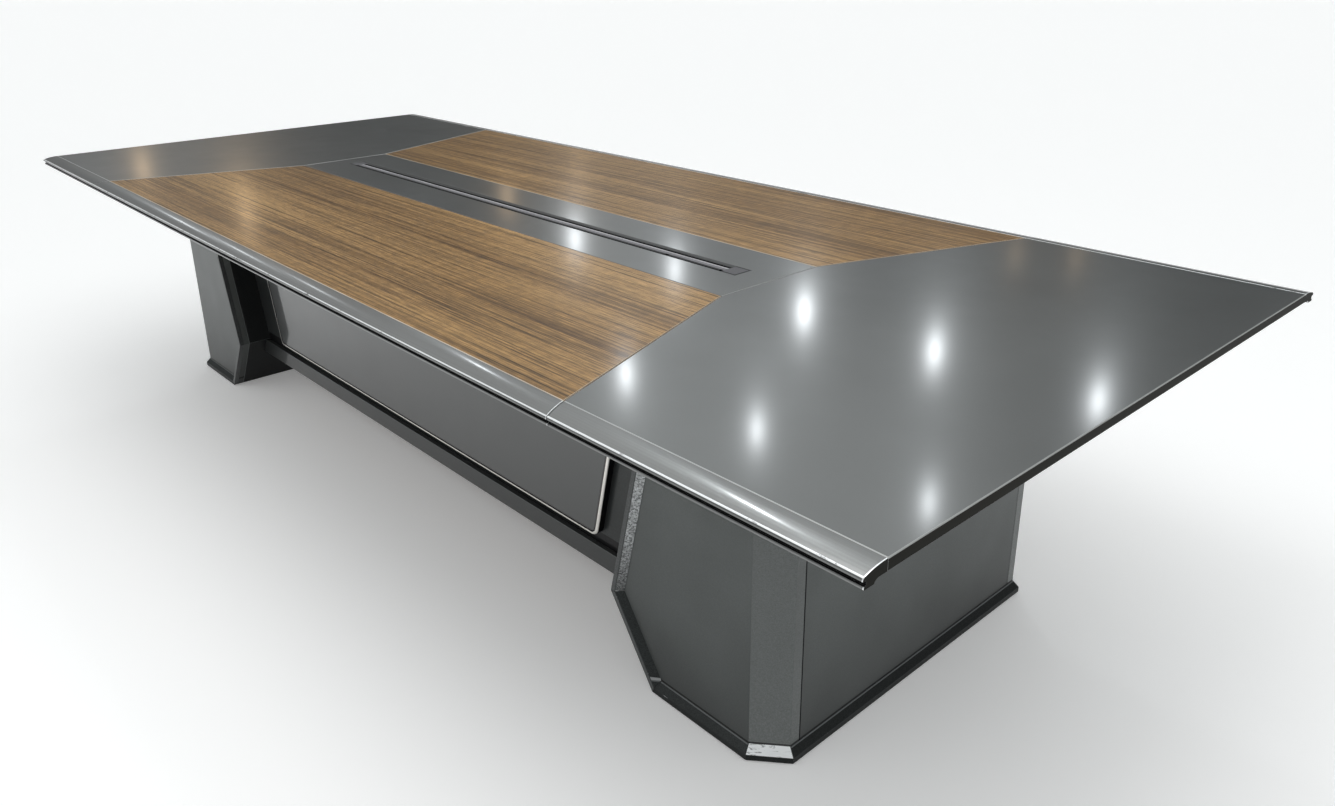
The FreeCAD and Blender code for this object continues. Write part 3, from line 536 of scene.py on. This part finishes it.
veneer_cut, tree, shader, place = new_finish("cut veneer edge")
end_grain = noise(tree, place, (60.0, 400.0, 400.0), detail=4)
tree.links.new(blended(tree, end_grain, WALNUT_DARK, WALNUT_MID), shader.inputs["Base Color"])
shader.inputs["Roughness"].default_value = 0.5

glue_line, tree, shader, place = new_finish("glue line")
smears = noise(tree, place, (9.0, 200.0, 200.0), detail=3)
smeared = scaled(tree, smears, 0.0, 0.5, span=(0.4, 0.7))
tree.links.new(blended(tree, smeared, GLUE_LINE, WALNUT_MID), shader.inputs["Base Color"])
shader.inputs["Roughness"].default_value = 0.45


def veneer_finish(face):
    if face.normal.z > SQUARE_ON:
        return 0
    return 2 if abs(face.normal.y) > LONG_EDGE and face.normal.z > LEANS else 1


for face in FACES:
    finishes = [walnut, veneer_cut, glue_line]
    eased_copy(f"top_veneer_{face}", "table", TOP_ARRIS, finishes, veneer_finish)

# Edge mouldings: long lacquered lengths with a crowned top, a nose, a shadow groove and a bead, on the two
# long edges. Rubbing down along the length leaves a faint lengthwise grain. Each joint between two lengths
# is a bright and a black line, the groove is painted black as shade, the nose carries a painted highlight,
# and the arrises are pale, partly as wear and partly as painted highlight lines.
MOULDING_GREY = (0.172, 0.177, 0.174, 1.0)
MOULDING_ARRIS = 0.0004
GROOVE_REACH = 0.7497
GROOVE_BOTTOM = 0.7302
GROOVE_TOP = 0.7386
NOSE_HIGHLIGHT_TILT = (0.35, 0.8)
ACROSS_JOINT = (1.0, -0.3583, 0.0)
JOINT_AT = 0.9313
JOINT_LINE = 0.0026

moulding_lacquer = metallic_lacquer(
    "moulding lacquer", MOULDING_GREY, metallic=0.75, roughness=0.31, flake=0.0012, sparkle=0.02, coat=0.8,
    brushed=0.1)
overpaint(moulding_lacquer, ACROSS_JOINT, JOINT_AT - JOINT_LINE, JOINT_AT, WEAR_AND_HIGHLIGHT_SILVER)
overpaint(moulding_lacquer, ACROSS_JOINT, JOINT_AT, JOINT_AT + JOINT_LINE, SHADOW_BLACK)
overpaint(moulding_lacquer, LENGTHWISE, top_end - END_LINE, top_end, WEAR_AND_HIGHLIGHT_SILVER)
# The moulding's arrises are pale, partly as wear and partly as a painted highlight line.
moulding_arris_wear_and_highlight = wear_and_highlight_arris("rubbed moulding arris with painted highlight", MOULDING_GREY, PALE_WEAR_AND_HIGHLIGHT, worn=0.45)
# The nose's upper faces are painted bright as a highlight, broken in patches.
nose_highlight = wear_and_highlight_arris("painted nose highlight", MOULDING_GREY, WEAR_AND_HIGHLIGHT_SILVER, worn=0.3)


def moulding_finish(face):
    """Ends are banded, joint faces have their own edge, the nose has a painted highlight and the groove is
    painted black as shade.
    """
    if abs(face.normal.x) > END_FACE:
        return 1
    if abs(face.normal.x) > LEANS:
        return 3
    middle = face.calc_center_median()
    if NOSE_HIGHLIGHT_TILT[0] < abs(face.normal.y) < NOSE_HIGHLIGHT_TILT[1] and middle.z > GROOVE_TOP and face.normal.z > 0:
        return 4
    # The groove's faces are painted black as shade.
    in_groove = abs(middle.y) < GROOVE_REACH and GROOVE_BOTTOM < middle.z < GROOVE_TOP
    return 2 if in_groove else 0


for face in FACES:
    for length in ("centre", "right", "left"):
        joint_edge = moulding_arris_wear_and_highlight if length == "centre" else blacking
        finishes = [moulding_lacquer, end_band, blacking, joint_edge, nose_highlight, moulding_arris_wear_and_highlight]
        node = f"edge_moulding_{face}_{length}"
        eased_copy(node, "table", MOULDING_ARRIS, finishes, moulding_finish)

# Joint tie plates: zinc-plated steel strips screwed across the section joints, under the top.
# Four pan-head screws with a cross recess hold each plate.
SCREW_INSET_X = 0.016
SCREW_INSET_Y = 0.014
SCREW_HEAD_RADIUS = 0.0044
SCREW_HEAD_DEPTH = 0.0026
SCREW_HEAD_TAPER = 0.72
SCREW_SIDES = 16
SCREW_TURN = 0.4
RECESS_WIDTH = 0.0011
RECESS_DEPTH = 0.0014

zinc, tree, shader, place = new_finish("zinc plating")
spangle = add_node(tree, "ShaderNodeTexVoronoi", {"Vector": place, "Scale": 180.0})
mottled = scaled(tree, spangle.outputs["Color"], 0.42, 0.62, span=(0.2, 0.8))
tree.links.new(mottled, shader.inputs["Base Color"])
shader.inputs["Metallic"].default_value = 1.0
shader.inputs["Roughness"].default_value = 0.42
dress(["joint_tie_plates"], zinc)


def new_growth(name, **sockets):
    """A geometry node tree with named inputs, and what it is given."""
    tree = bpy.data.node_groups.new(name, "GeometryNodeTree")
    for label, kind in sockets.items():
        tree.interface.new_socket(label, in_out="INPUT", socket_type="NodeSocket" + kind)
    tree.interface.new_socket("Geometry", in_out="OUTPUT", socket_type="NodeSocketGeometry")
    return tree, add_node(tree, "NodeGroupInput").outputs


def end_growth(tree, instances, finish):
    """Close a tree: turn its instances into real faces and give them their finish."""
    whole = add_node(tree, "GeometryNodeRealizeInstances", {"Geometry": instances}).outputs["Geometry"]
    dressed = add_node(tree, "GeometryNodeSetMaterial", {"Geometry": whole, "Material": finish})
    add_node(tree, "NodeGroupOutput", {"Geometry": dressed.outputs["Geometry"]})


def grown_piece(tree, name, seeds, **values):
    """Run a tree on seed points with its inputs set, and keep the result as a plain mesh."""
    holder_mesh = bpy.data.meshes.new(name + "_seeds")
    holder_mesh.from_pydata(seeds, [], [])
    piece = bpy.data.objects.new(name, holder_mesh)
    bpy.context.scene.collection.objects.link(piece)
    growth = piece.modifiers.new(name, "NODES")
    growth.node_group = tree
    for item in tree.interface.items_tree:
        if item.in_out == "INPUT" and item.name in values:
            growth[item.identifier] = values[item.name]
    grown = piece.evaluated_get(bpy.context.evaluated_depsgraph_get())
    mesh = bpy.data.meshes.new_from_object(grown)
    piece.modifiers.remove(growth)
    piece.data = mesh
    return piece


screw_tree, given = new_growth(
    "screw heads", Seeds="Geometry", Head_radius="Float", Head_depth="Float", Recess_width="Float",
    Recess_depth="Float", Zinc="Material")
top_radius = product(screw_tree, given["Head_radius"], SCREW_HEAD_TAPER)
head = add_node(screw_tree, "GeometryNodeMeshCone", {
    "Vertices": SCREW_SIDES, "Radius Top": top_radius, "Radius Bottom": given["Head_radius"],
    "Depth": given["Head_depth"]})
recess_bars = []
for lengthwise in (True, False):
    bar_size = add_node(screw_tree, "ShaderNodeCombineXYZ", {
        "X": given["Head_radius" if lengthwise else "Recess_width"],
        "Y": given["Recess_width" if lengthwise else "Head_radius"],
        "Z": given["Recess_depth"]})
    bar = add_node(screw_tree, "GeometryNodeMeshCube", {"Size": bar_size.outputs[0]})
    lift = add_node(screw_tree, "ShaderNodeCombineXYZ", {"Z": given["Head_depth"]})
    raised = add_node(screw_tree, "GeometryNodeTransform", {
        "Geometry": bar.outputs["Mesh"], "Translation": lift.outputs[0]})
    recess_bars.append(raised.outputs["Geometry"])
recessed = add_node(screw_tree, "GeometryNodeMeshBoolean", {"Mesh 1": head.outputs["Mesh"]})
for bar in recess_bars:
    screw_tree.links.new(bar, recessed.inputs["Mesh 2"])
heads = add_node(screw_tree, "GeometryNodeInstanceOnPoints", {
    "Points": given["Seeds"], "Instance": recessed.outputs["Mesh"], "Rotation": (math.pi, 0.0, SCREW_TURN)})
end_growth(screw_tree, heads.outputs["Instances"], given["Zinc"])

screw_places = []
for plate in closed_shells(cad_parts["joint_tie_plates"].data):
    corners = [corner for triangle in plate for corner in triangle]
    low = [min(corner[axis] for corner in corners) for axis in range(3)]
    high = [max(corner[axis] for corner in corners) for axis in range(3)]
    for x in (low[0] + SCREW_INSET_X, high[0] - SCREW_INSET_X):
        for y in (low[1] + SCREW_INSET_Y, high[1] - SCREW_INSET_Y):
            screw_places.append((x, y, low[2]))
screws = grown_piece(
    screw_tree, "tie_plate_screws", screw_places, Head_radius=SCREW_HEAD_RADIUS,
    Head_depth=SCREW_HEAD_DEPTH, Recess_width=RECESS_WIDTH, Recess_depth=RECESS_DEPTH, Zinc=zinc)
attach(screws, "table")

# Slot rails, end plates and lids: black anodised aluminium extrusions let into the centre strip, with a
# faint purple cast and a drawn grain along the slot. The lids turn on a zinc-plated rod. Their finger edges
# carry a painted highlight in patches, and the strips over their hinges and the end plates' outlines are
# painted black as shade.
ANODISED = (0.185, 0.182, 0.195, 1.0)
PLATE_GREY = (0.105, 0.104, 0.112, 1.0)
HIGHLIGHT_ALUMINIUM = (0.5, 0.5, 0.51, 1.0)
RAIL_GREY = (0.055, 0.056, 0.056, 1.0)
RAIL_BLACK = (0.006, 0.006, 0.007, 1.0)
PLATE_SHADE_OUTLINE = 0.005
HINGE_SHADE = 0.015
PAST_LIDS = 1.0
FINGER_HIGHLIGHT = 0.003
BRUSH_SHADE = 0.014
SLOT_ARRIS = 0.0004
LID_COUNT = 4
CROSSWISE = (0.0, 1.0, 0.0)


def anodising(name, colour, metallic, gloss):
    """Anodised aluminium with a drawn grain along the extrusion."""
    material, tree, shader, place = new_finish(name)
    drawn = noise(tree, place, (3.0, 1800.0, 1800.0), detail=3)
    grain = scaled(tree, drawn, 0.8, 1.2, MOST_NOISE)
    tree.links.new(toned(tree, colour, grain), shader.inputs["Base Color"])
    tree.links.new(scaled(tree, drawn, 0.34, 0.46), shader.inputs["Roughness"])
    shader.inputs["Metallic"].default_value = metallic
    shader.inputs["Specular IOR Level"].default_value = gloss
    return material


lid_anodising = anodising("lid anodising", ANODISED, metallic=0.1, gloss=0.1)
tree = lid_anodising.node_tree
place = tree.nodes["Texture Coordinate"].outputs["Object"]
patches = noise(tree, place, (6.0, 60.0, 60.0), detail=4, roughness=0.7)
rubbed = scaled(tree, patches, 0.45, 1.0, span=(0.4, 0.55))
# The strip over each lid's hinge is painted black as the shade of its gap.
overpaint(lid_anodising, CROSSWISE, HINGE_SHADE, PAST_LIDS, RAIL_BLACK)
# The lids' finger edges carry a painted highlight in patches.
overpaint(lid_anodising, CROSSWISE, 0.0, FINGER_HIGHLIGHT, HIGHLIGHT_ALUMINIUM, rubbed)
rail_anodising = anodising("rail anodising", RAIL_GREY, metallic=0.1, gloss=0.1)
overpaint(rail_anodising, CROSSWISE, 0.0, BRUSH_SHADE, RAIL_BLACK)
rail_blacking = anodising("rail blacking", RAIL_BLACK, metallic=0.0, gloss=0.0)

plate_anodising = anodising("end plate anodising", PLATE_GREY, metallic=0.1, gloss=0.1)
plate_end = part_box("slot_end_plate_right")[1]
# The end plates' outer edges are outlined in painted shade.
overpaint(plate_anodising, LENGTHWISE, plate_end.x - PLATE_SHADE_OUTLINE, plate_end.x, RAIL_BLACK)
overpaint(plate_anodising, CROSSWISE, plate_end.y - PLATE_SHADE_OUTLINE, plate_end.y, RAIL_BLACK)
dress(["lid_hinge_rod"], zinc)
eased_copy("slot_rail_front", "table", SLOT_ARRIS, [rail_blacking, rail_blacking])
eased_copy("slot_rail_back", "table", SLOT_ARRIS, [rail_anodising, rail_anodising])
for side in SIDES:
    finishes = [plate_anodising, plate_anodising]
    eased_copy(f"slot_end_plate_{side}", "table", SLOT_ARRIS, finishes)
for number in range(1, LID_COUNT + 1):
    finishes = [lid_anodising, lid_anodising]
    eased_copy(f"slot_lid_{number}", f"lid_{number}", SLOT_ARRIS, finishes)

# Slot brush: black nylon bristles crimped into an aluminium channel, which slides into the back rail.
# The bristles reach across the slot to the lids' free edges.
BRUSH_CHANNEL_WIDTH = 0.012
BRUSH_WALL = 0.001
BRISTLE_PITCH = 0.00045
BRISTLE_RADIUS = 0.00011
BRISTLE_SIDES = 5
BRISTLE_SPREAD = 0.0012
BRISTLE_SPLAY = 0.09
SHORTEST_BRISTLE = 0.86

bristle_nylon, tree, shader, place = new_finish("bristle nylon")
hairs = noise(tree, place, (900.0, 20.0, 900.0), detail=2)
tree.links.new(blended(tree, hairs, RAIL_BLACK, NYLON_BLACK), shader.inputs["Base Color"])
shader.inputs["Roughness"].default_value = 0.6
shader.inputs["Specular IOR Level"].default_value = 0.1

brush_low, brush_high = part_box("slot_brush")
channel_front = brush_high.y - BRUSH_CHANNEL_WIDTH
middle_z = (brush_low.z + brush_high.z) / 2
mouth = 2 * BRISTLE_SPREAD
channel_section = [
    (channel_front, brush_low.z),
    (brush_high.y, brush_low.z),
    (brush_high.y, brush_high.z),
    (channel_front, brush_high.z),
    (channel_front, middle_z + mouth),
    (channel_front + BRUSH_WALL, middle_z + mouth),
    (channel_front + BRUSH_WALL, middle_z - mouth),
    (channel_front, middle_z - mouth),
]
channel_form = bmesh.new()
section = channel_form.faces.new([channel_form.verts.new((brush_low.x, y, z)) for y, z in channel_section])
pushed = bmesh.ops.extrude_face_region(channel_form, geom=[section])["geom"]
pushed_points = [part for part in pushed if isinstance(part, bmesh.types.BMVert)]
bmesh.ops.translate(channel_form, verts=pushed_points, vec=(brush_high.x - brush_low.x, 0, 0))
bmesh.ops.recalc_face_normals(channel_form, faces=channel_form.faces)
channel_mesh = bpy.data.meshes.new("brush_channel")
channel_form.to_mesh(channel_mesh)
channel_form.free()
channel_mesh.materials.append(rail_anodising)
channel = bpy.data.objects.new("brush_channel", channel_mesh)
bpy.context.scene.collection.objects.link(channel)

bristle_tree, given = new_growth(
    "bristle row", Row_length="Float", Pitch="Float", Bristle_length="Float", Bristle_radius="Float",
    Spread="Float", Splay="Float", Foot="Vector", Nylon="Material")
count = calculated(bristle_tree, "DIVIDE", given["Row_length"], given["Pitch"])
step = add_node(bristle_tree, "ShaderNodeCombineXYZ", {"X": given["Pitch"]})
row = add_node(bristle_tree, "GeometryNodeMeshLine", {
    "Count": count, "Start Location": given["Foot"], "Offset": step.outputs[0]})
below = product(bristle_tree, given["Spread"], -1.0)
least = add_node(bristle_tree, "ShaderNodeCombineXYZ", {"Z": below})
most = add_node(bristle_tree, "ShaderNodeCombineXYZ", {"Z": given["Spread"]})
stray = add_node(bristle_tree, "FunctionNodeRandomValue", {
    0: least.outputs[0], 1: most.outputs[0], "Seed": 3}, data_type="FLOAT_VECTOR")
rooted = add_node(bristle_tree, "GeometryNodeSetPosition", {
    "Geometry": row.outputs["Mesh"], "Offset": stray.outputs["Value"]})
bristle_form = add_node(bristle_tree, "GeometryNodeMeshCone", {
    "Vertices": BRISTLE_SIDES, "Radius Top": given["Bristle_radius"],
    "Radius Bottom": given["Bristle_radius"], "Depth": given["Bristle_length"]})
level = math.pi / 2
turn_back = product(bristle_tree, given["Splay"], -1.0)
turn_low = add_node(bristle_tree, "ShaderNodeCombineXYZ", {"X": level, "Z": turn_back})
turn_high = add_node(bristle_tree, "ShaderNodeCombineXYZ", {"X": level, "Z": given["Splay"]})
turn = add_node(bristle_tree, "FunctionNodeRandomValue", {
    0: turn_low.outputs[0], 1: turn_high.outputs[0], "Seed": 5}, data_type="FLOAT_VECTOR")
trim = add_node(bristle_tree, "FunctionNodeRandomValue", {
    0: (1.0, 1.0, SHORTEST_BRISTLE), 1: (1.0, 1.0, 1.0), "Seed": 8}, data_type="FLOAT_VECTOR")
bristles_set = add_node(bristle_tree, "GeometryNodeInstanceOnPoints", {
    "Points": rooted.outputs["Geometry"], "Instance": bristle_form.outputs["Mesh"],
    "Rotation": turn.outputs["Value"], "Scale": trim.outputs["Value"]})
end_growth(bristle_tree, bristles_set.outputs["Instances"], given["Nylon"])
bristle_end = 2 * BRISTLE_PITCH
bristle_root = channel_front + BRUSH_WALL
bristles = grown_piece(
    bristle_tree, "brush_bristles", [(0.0, 0.0, 0.0)],
    Row_length=brush_high.x - brush_low.x - 2 * bristle_end, Pitch=BRISTLE_PITCH,
    Bristle_length=bristle_root - brush_low.y, Bristle_radius=BRISTLE_RADIUS, Spread=BRISTLE_SPREAD,
    Splay=BRISTLE_SPLAY, Foot=(brush_low.x + bristle_end, bristle_root, middle_z), Nylon=bristle_nylon)
for piece in (channel, bristles):
    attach(piece, "table")
    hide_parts("slot_brush")

# Floor: a plain pale studio floor, large enough to fill the picture behind the table. To the eye it is white
# and lifted a little by its own light, and to the light that it throws back up it is a mid grey, so the
# undersides stay dark.
FLOOR_REACH = 60.0
FLOOR_WHITE = (0.96, 0.96, 0.96, 1.0)
FLOOR_BOUNCE = (0.40, 0.40, 0.40, 1.0)
FLOOR_LIFT = 0.2

floor_mesh = bpy.data.meshes.new("floor")
corners = [(-FLOOR_REACH, -FLOOR_REACH, 0), (FLOOR_REACH, -FLOOR_REACH, 0)]
corners += [(FLOOR_REACH, FLOOR_REACH, 0), (-FLOOR_REACH, FLOOR_REACH, 0)]
floor_mesh.from_pydata(corners, [], [(0, 1, 2, 3)])
floor = bpy.data.objects.new("floor", floor_mesh)
bpy.context.scene.collection.objects.link(floor)
floor_paint, tree, shader = new_finish("floor paint")[:3]
rays = add_node(tree, "ShaderNodeLightPath").outputs
seen = calculated(tree, "MAXIMUM", rays["Is Camera Ray"], rays["Is Glossy Ray"])
seen = calculated(tree, "MAXIMUM", seen, rays["Is Transmission Ray"])
tree.links.new(blended(tree, seen, FLOOR_BOUNCE, FLOOR_WHITE), shader.inputs["Base Color"])
tree.links.new(product(tree, seen, FLOOR_LIFT), shader.inputs["Emission Strength"])
shader.inputs["Emission Color"].default_value = FLOOR_WHITE
shader.inputs["Roughness"].default_value = 0.9
shader.inputs["Specular IOR Level"].default_value = 0.0
floor_mesh.materials.append(floor_paint)
floor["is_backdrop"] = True

# Studio light: a dome that is bright overhead and dim towards three corners and the horizon, where a white
# band meets the floor, and one round softbox. Each ceiling lamp is a soft glow in the dome, placed where it
# stands in the table top's mirror image for someone at the camera, and some of the far lamps are warm.
DOME_TINT = (0.98, 1.0, 1.0)
DOME_HORIZON = 0.07
DOME_ZENITH = 2.0
DOME_STEEPNESS = 2.0
DOME_CAP = 1.0
HORIZON_GLOW = 0.88
GLOW_ENDS = (math.sin(math.radians(2.8)), math.sin(math.radians(3.6)))
# Each corner's bearing, rise, core and reach in degrees, and the share of light that it loses.
DARK_CORNERS = ((90, 13, 22, 35, 0.87), (150, 8.5, 4, 12, 0.9), (126, 10.5, 4.5, 12.5, 0.62))
CAMERA_PLACE = Vector((2.3865, -1.5806, 1.4060))
LAMP_HEIGHT = 3.0
LAMP_COLUMNS = (-3.01, -1.70, -0.39, 0.92)
LAMP_ROWS = (4.95, 2.93)
NEAR_EDGE_LAMPS = ((-0.14, 0.41),)
MIDDLE_EDGE_LAMPS = ((-2.62, 0.92),)
FAR_EDGE_LAMPS = ((-4.4, 0.5), (-5.7, 0.5), (-7.0, 0.5))
END_LAMPS = ((-4.71, 5.01), (-6.30, 5.01))
WARM_LAMPS = ((-8.61, 5.70), (-9.3, 7.4), (-13.93, 2.91))
VENEER_LAMPS = ((-9.9, 2.85),)
FAINT_LAMPS = ((-2.7, 7.9), (-2.2, 8.2))
GRID_STRENGTH = 9.5
NEAR_EDGE_STRENGTH = 100.0
MIDDLE_EDGE_STRENGTH = 12.0
FAR_EDGE_STRENGTH = 4.0
END_STRENGTH = 5.0
WARM_STRENGTH = 1.0
VENEER_STRENGTH = 3.5
FAINT_STRENGTH = 0.4
GLOW_WIDTH = math.radians(0.56)
GLOW_HEIGHT = math.radians(1.2)
GLOW_FALL = -1.5
NO_DEPTH = 1e6
COOL = (0.92, 0.97, 1.0)
WARM = (1.0, 0.7, 0.4)
SOFTBOX_PLACE = (0.9, -0.6, 2.9)
SOFTBOX_SIZE = 1.8
SOFTBOX_WATTS = 16.0

world = bpy.data.worlds.new("studio")
bpy.context.scene.world = world
world.use_nodes = True
tree = world.node_tree
direction = add_node(tree, "ShaderNodeTexCoord").outputs["Generated"]
height = add_node(tree, "ShaderNodeSeparateXYZ", {0: direction}).outputs["Z"]
upward = calculated(tree, "MAXIMUM", height, 0.0)
overhead = calculated(tree, "POWER", upward, DOME_STEEPNESS)
dome = scaled(tree, overhead, DOME_HORIZON, DOME_ZENITH)
dome = calculated(tree, "MINIMUM", dome, DOME_CAP)
for bearing, rise, core, reach, share in DARK_CORNERS:
    bearing, rise = math.radians(bearing), math.radians(rise)
    middle = (math.cos(bearing) * math.cos(rise), math.sin(bearing) * math.cos(rise), math.sin(rise))
    nearness = add_node(tree, "ShaderNodeVectorMath", {0: direction, 1: middle}, operation="DOT_PRODUCT")
    span = (math.cos(math.radians(reach)), math.cos(math.radians(core)))
    dome = product(tree, dome, scaled(tree, nearness.outputs["Value"], 1.0, 1.0 - share, span))
glow = scaled(tree, height, HORIZON_GLOW, 0.0, GLOW_ENDS)
dome = calculated(tree, "ADD", dome, glow)
light = toned(tree, DOME_TINT, dome)
mirror_eye = Vector((CAMERA_PLACE.x, CAMERA_PLACE.y, 2 * cad_box[1][2] - CAMERA_PLACE.z))


def lamp_glow(tree, ceiling_place):
    """How much of a lamp's soft glow lies in each direction of the dome."""
    aim = Vector((*ceiling_place, LAMP_HEIGHT)) - mirror_eye
    rise = math.asin(aim.normalized().z)
    bearing = math.atan2(aim.y, aim.x)
    turned = add_node(tree, "ShaderNodeMapping", {
        "Vector": direction, "Rotation": (0.0, -rise, bearing),
        "Scale": (NO_DEPTH, GLOW_WIDTH, GLOW_HEIGHT)}, vector_type="TEXTURE").outputs["Vector"]
    spread = add_node(tree, "ShaderNodeVectorMath", {0: turned, 1: turned}, operation="DOT_PRODUCT")
    widened = calculated(tree, "ADD", spread.outputs["Value"], 1.0)
    return calculated(tree, "POWER", widened, GLOW_FALL)


grid = [(column, row) for row in LAMP_ROWS for column in LAMP_COLUMNS]
lamp_sets = (
    (grid, COOL, GRID_STRENGTH),
    (NEAR_EDGE_LAMPS, COOL, NEAR_EDGE_STRENGTH),
    (MIDDLE_EDGE_LAMPS, COOL, MIDDLE_EDGE_STRENGTH),
    (FAR_EDGE_LAMPS, COOL, FAR_EDGE_STRENGTH),
    (END_LAMPS, COOL, END_STRENGTH),
    (WARM_LAMPS, WARM, WARM_STRENGTH),
    (VENEER_LAMPS, WARM, VENEER_STRENGTH),
    (FAINT_LAMPS, WARM, FAINT_STRENGTH),
)
for places, colour, strength in lamp_sets:
    for lamp_place in places:
        shine = product(tree, lamp_glow(tree, lamp_place), strength)
        light = add_node(tree, "ShaderNodeVectorMath", {0: light, 1: toned(tree, colour, shine)}).outputs[0]
tree.links.new(light, tree.nodes["Background"].inputs["Color"])

softbox = bpy.data.lights.new("softbox", "AREA")
softbox.shape = "DISK"
softbox.size = SOFTBOX_SIZE
softbox.energy = SOFTBOX_WATTS
softbox_object = bpy.data.objects.new("softbox", softbox)
softbox_object.location = SOFTBOX_PLACE
bpy.context.scene.collection.objects.link(softbox_object)

# Camera: standing at the table's front right corner, at the photograph's place, angle and framing.
# Its focal length and the row of its axis are in the photograph's pixels.
CAMERA_YAW = math.radians(47.58)
CAMERA_PITCH = math.radians(20.08)
CAMERA_ROLL = math.radians(-0.57)
PHOTO_WIDTH = 1335
PHOTO_HEIGHT = 806
FOCAL_PIXELS = 1029.85
AXIS_ROW = 330.98

camera = bpy.data.cameras.new("camera")
camera.sensor_width = 36.0
camera.lens = camera.sensor_width * FOCAL_PIXELS / PHOTO_WIDTH
camera.shift_y = (AXIS_ROW - PHOTO_HEIGHT / 2) / PHOTO_WIDTH
camera_object = bpy.data.objects.new("camera", camera)
upright = Matrix.Rotation(CAMERA_YAW, 4, "Z") @ Matrix.Rotation(math.pi / 2 - CAMERA_PITCH, 4, "X")
standing = Matrix.Translation(CAMERA_PLACE) @ upright
camera_object.matrix_world = standing @ Matrix.Rotation(CAMERA_ROLL, 4, "Z")
bpy.context.scene.collection.objects.link(camera_object)
bpy.context.scene.camera = camera_object
bpy.context.scene.view_settings.view_transform = "Standard"

visual_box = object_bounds()
boxes = {"cad": cad_box, "visual": visual_box}
{name: [list(corner) for corner in box] for name, box in boxes.items()}
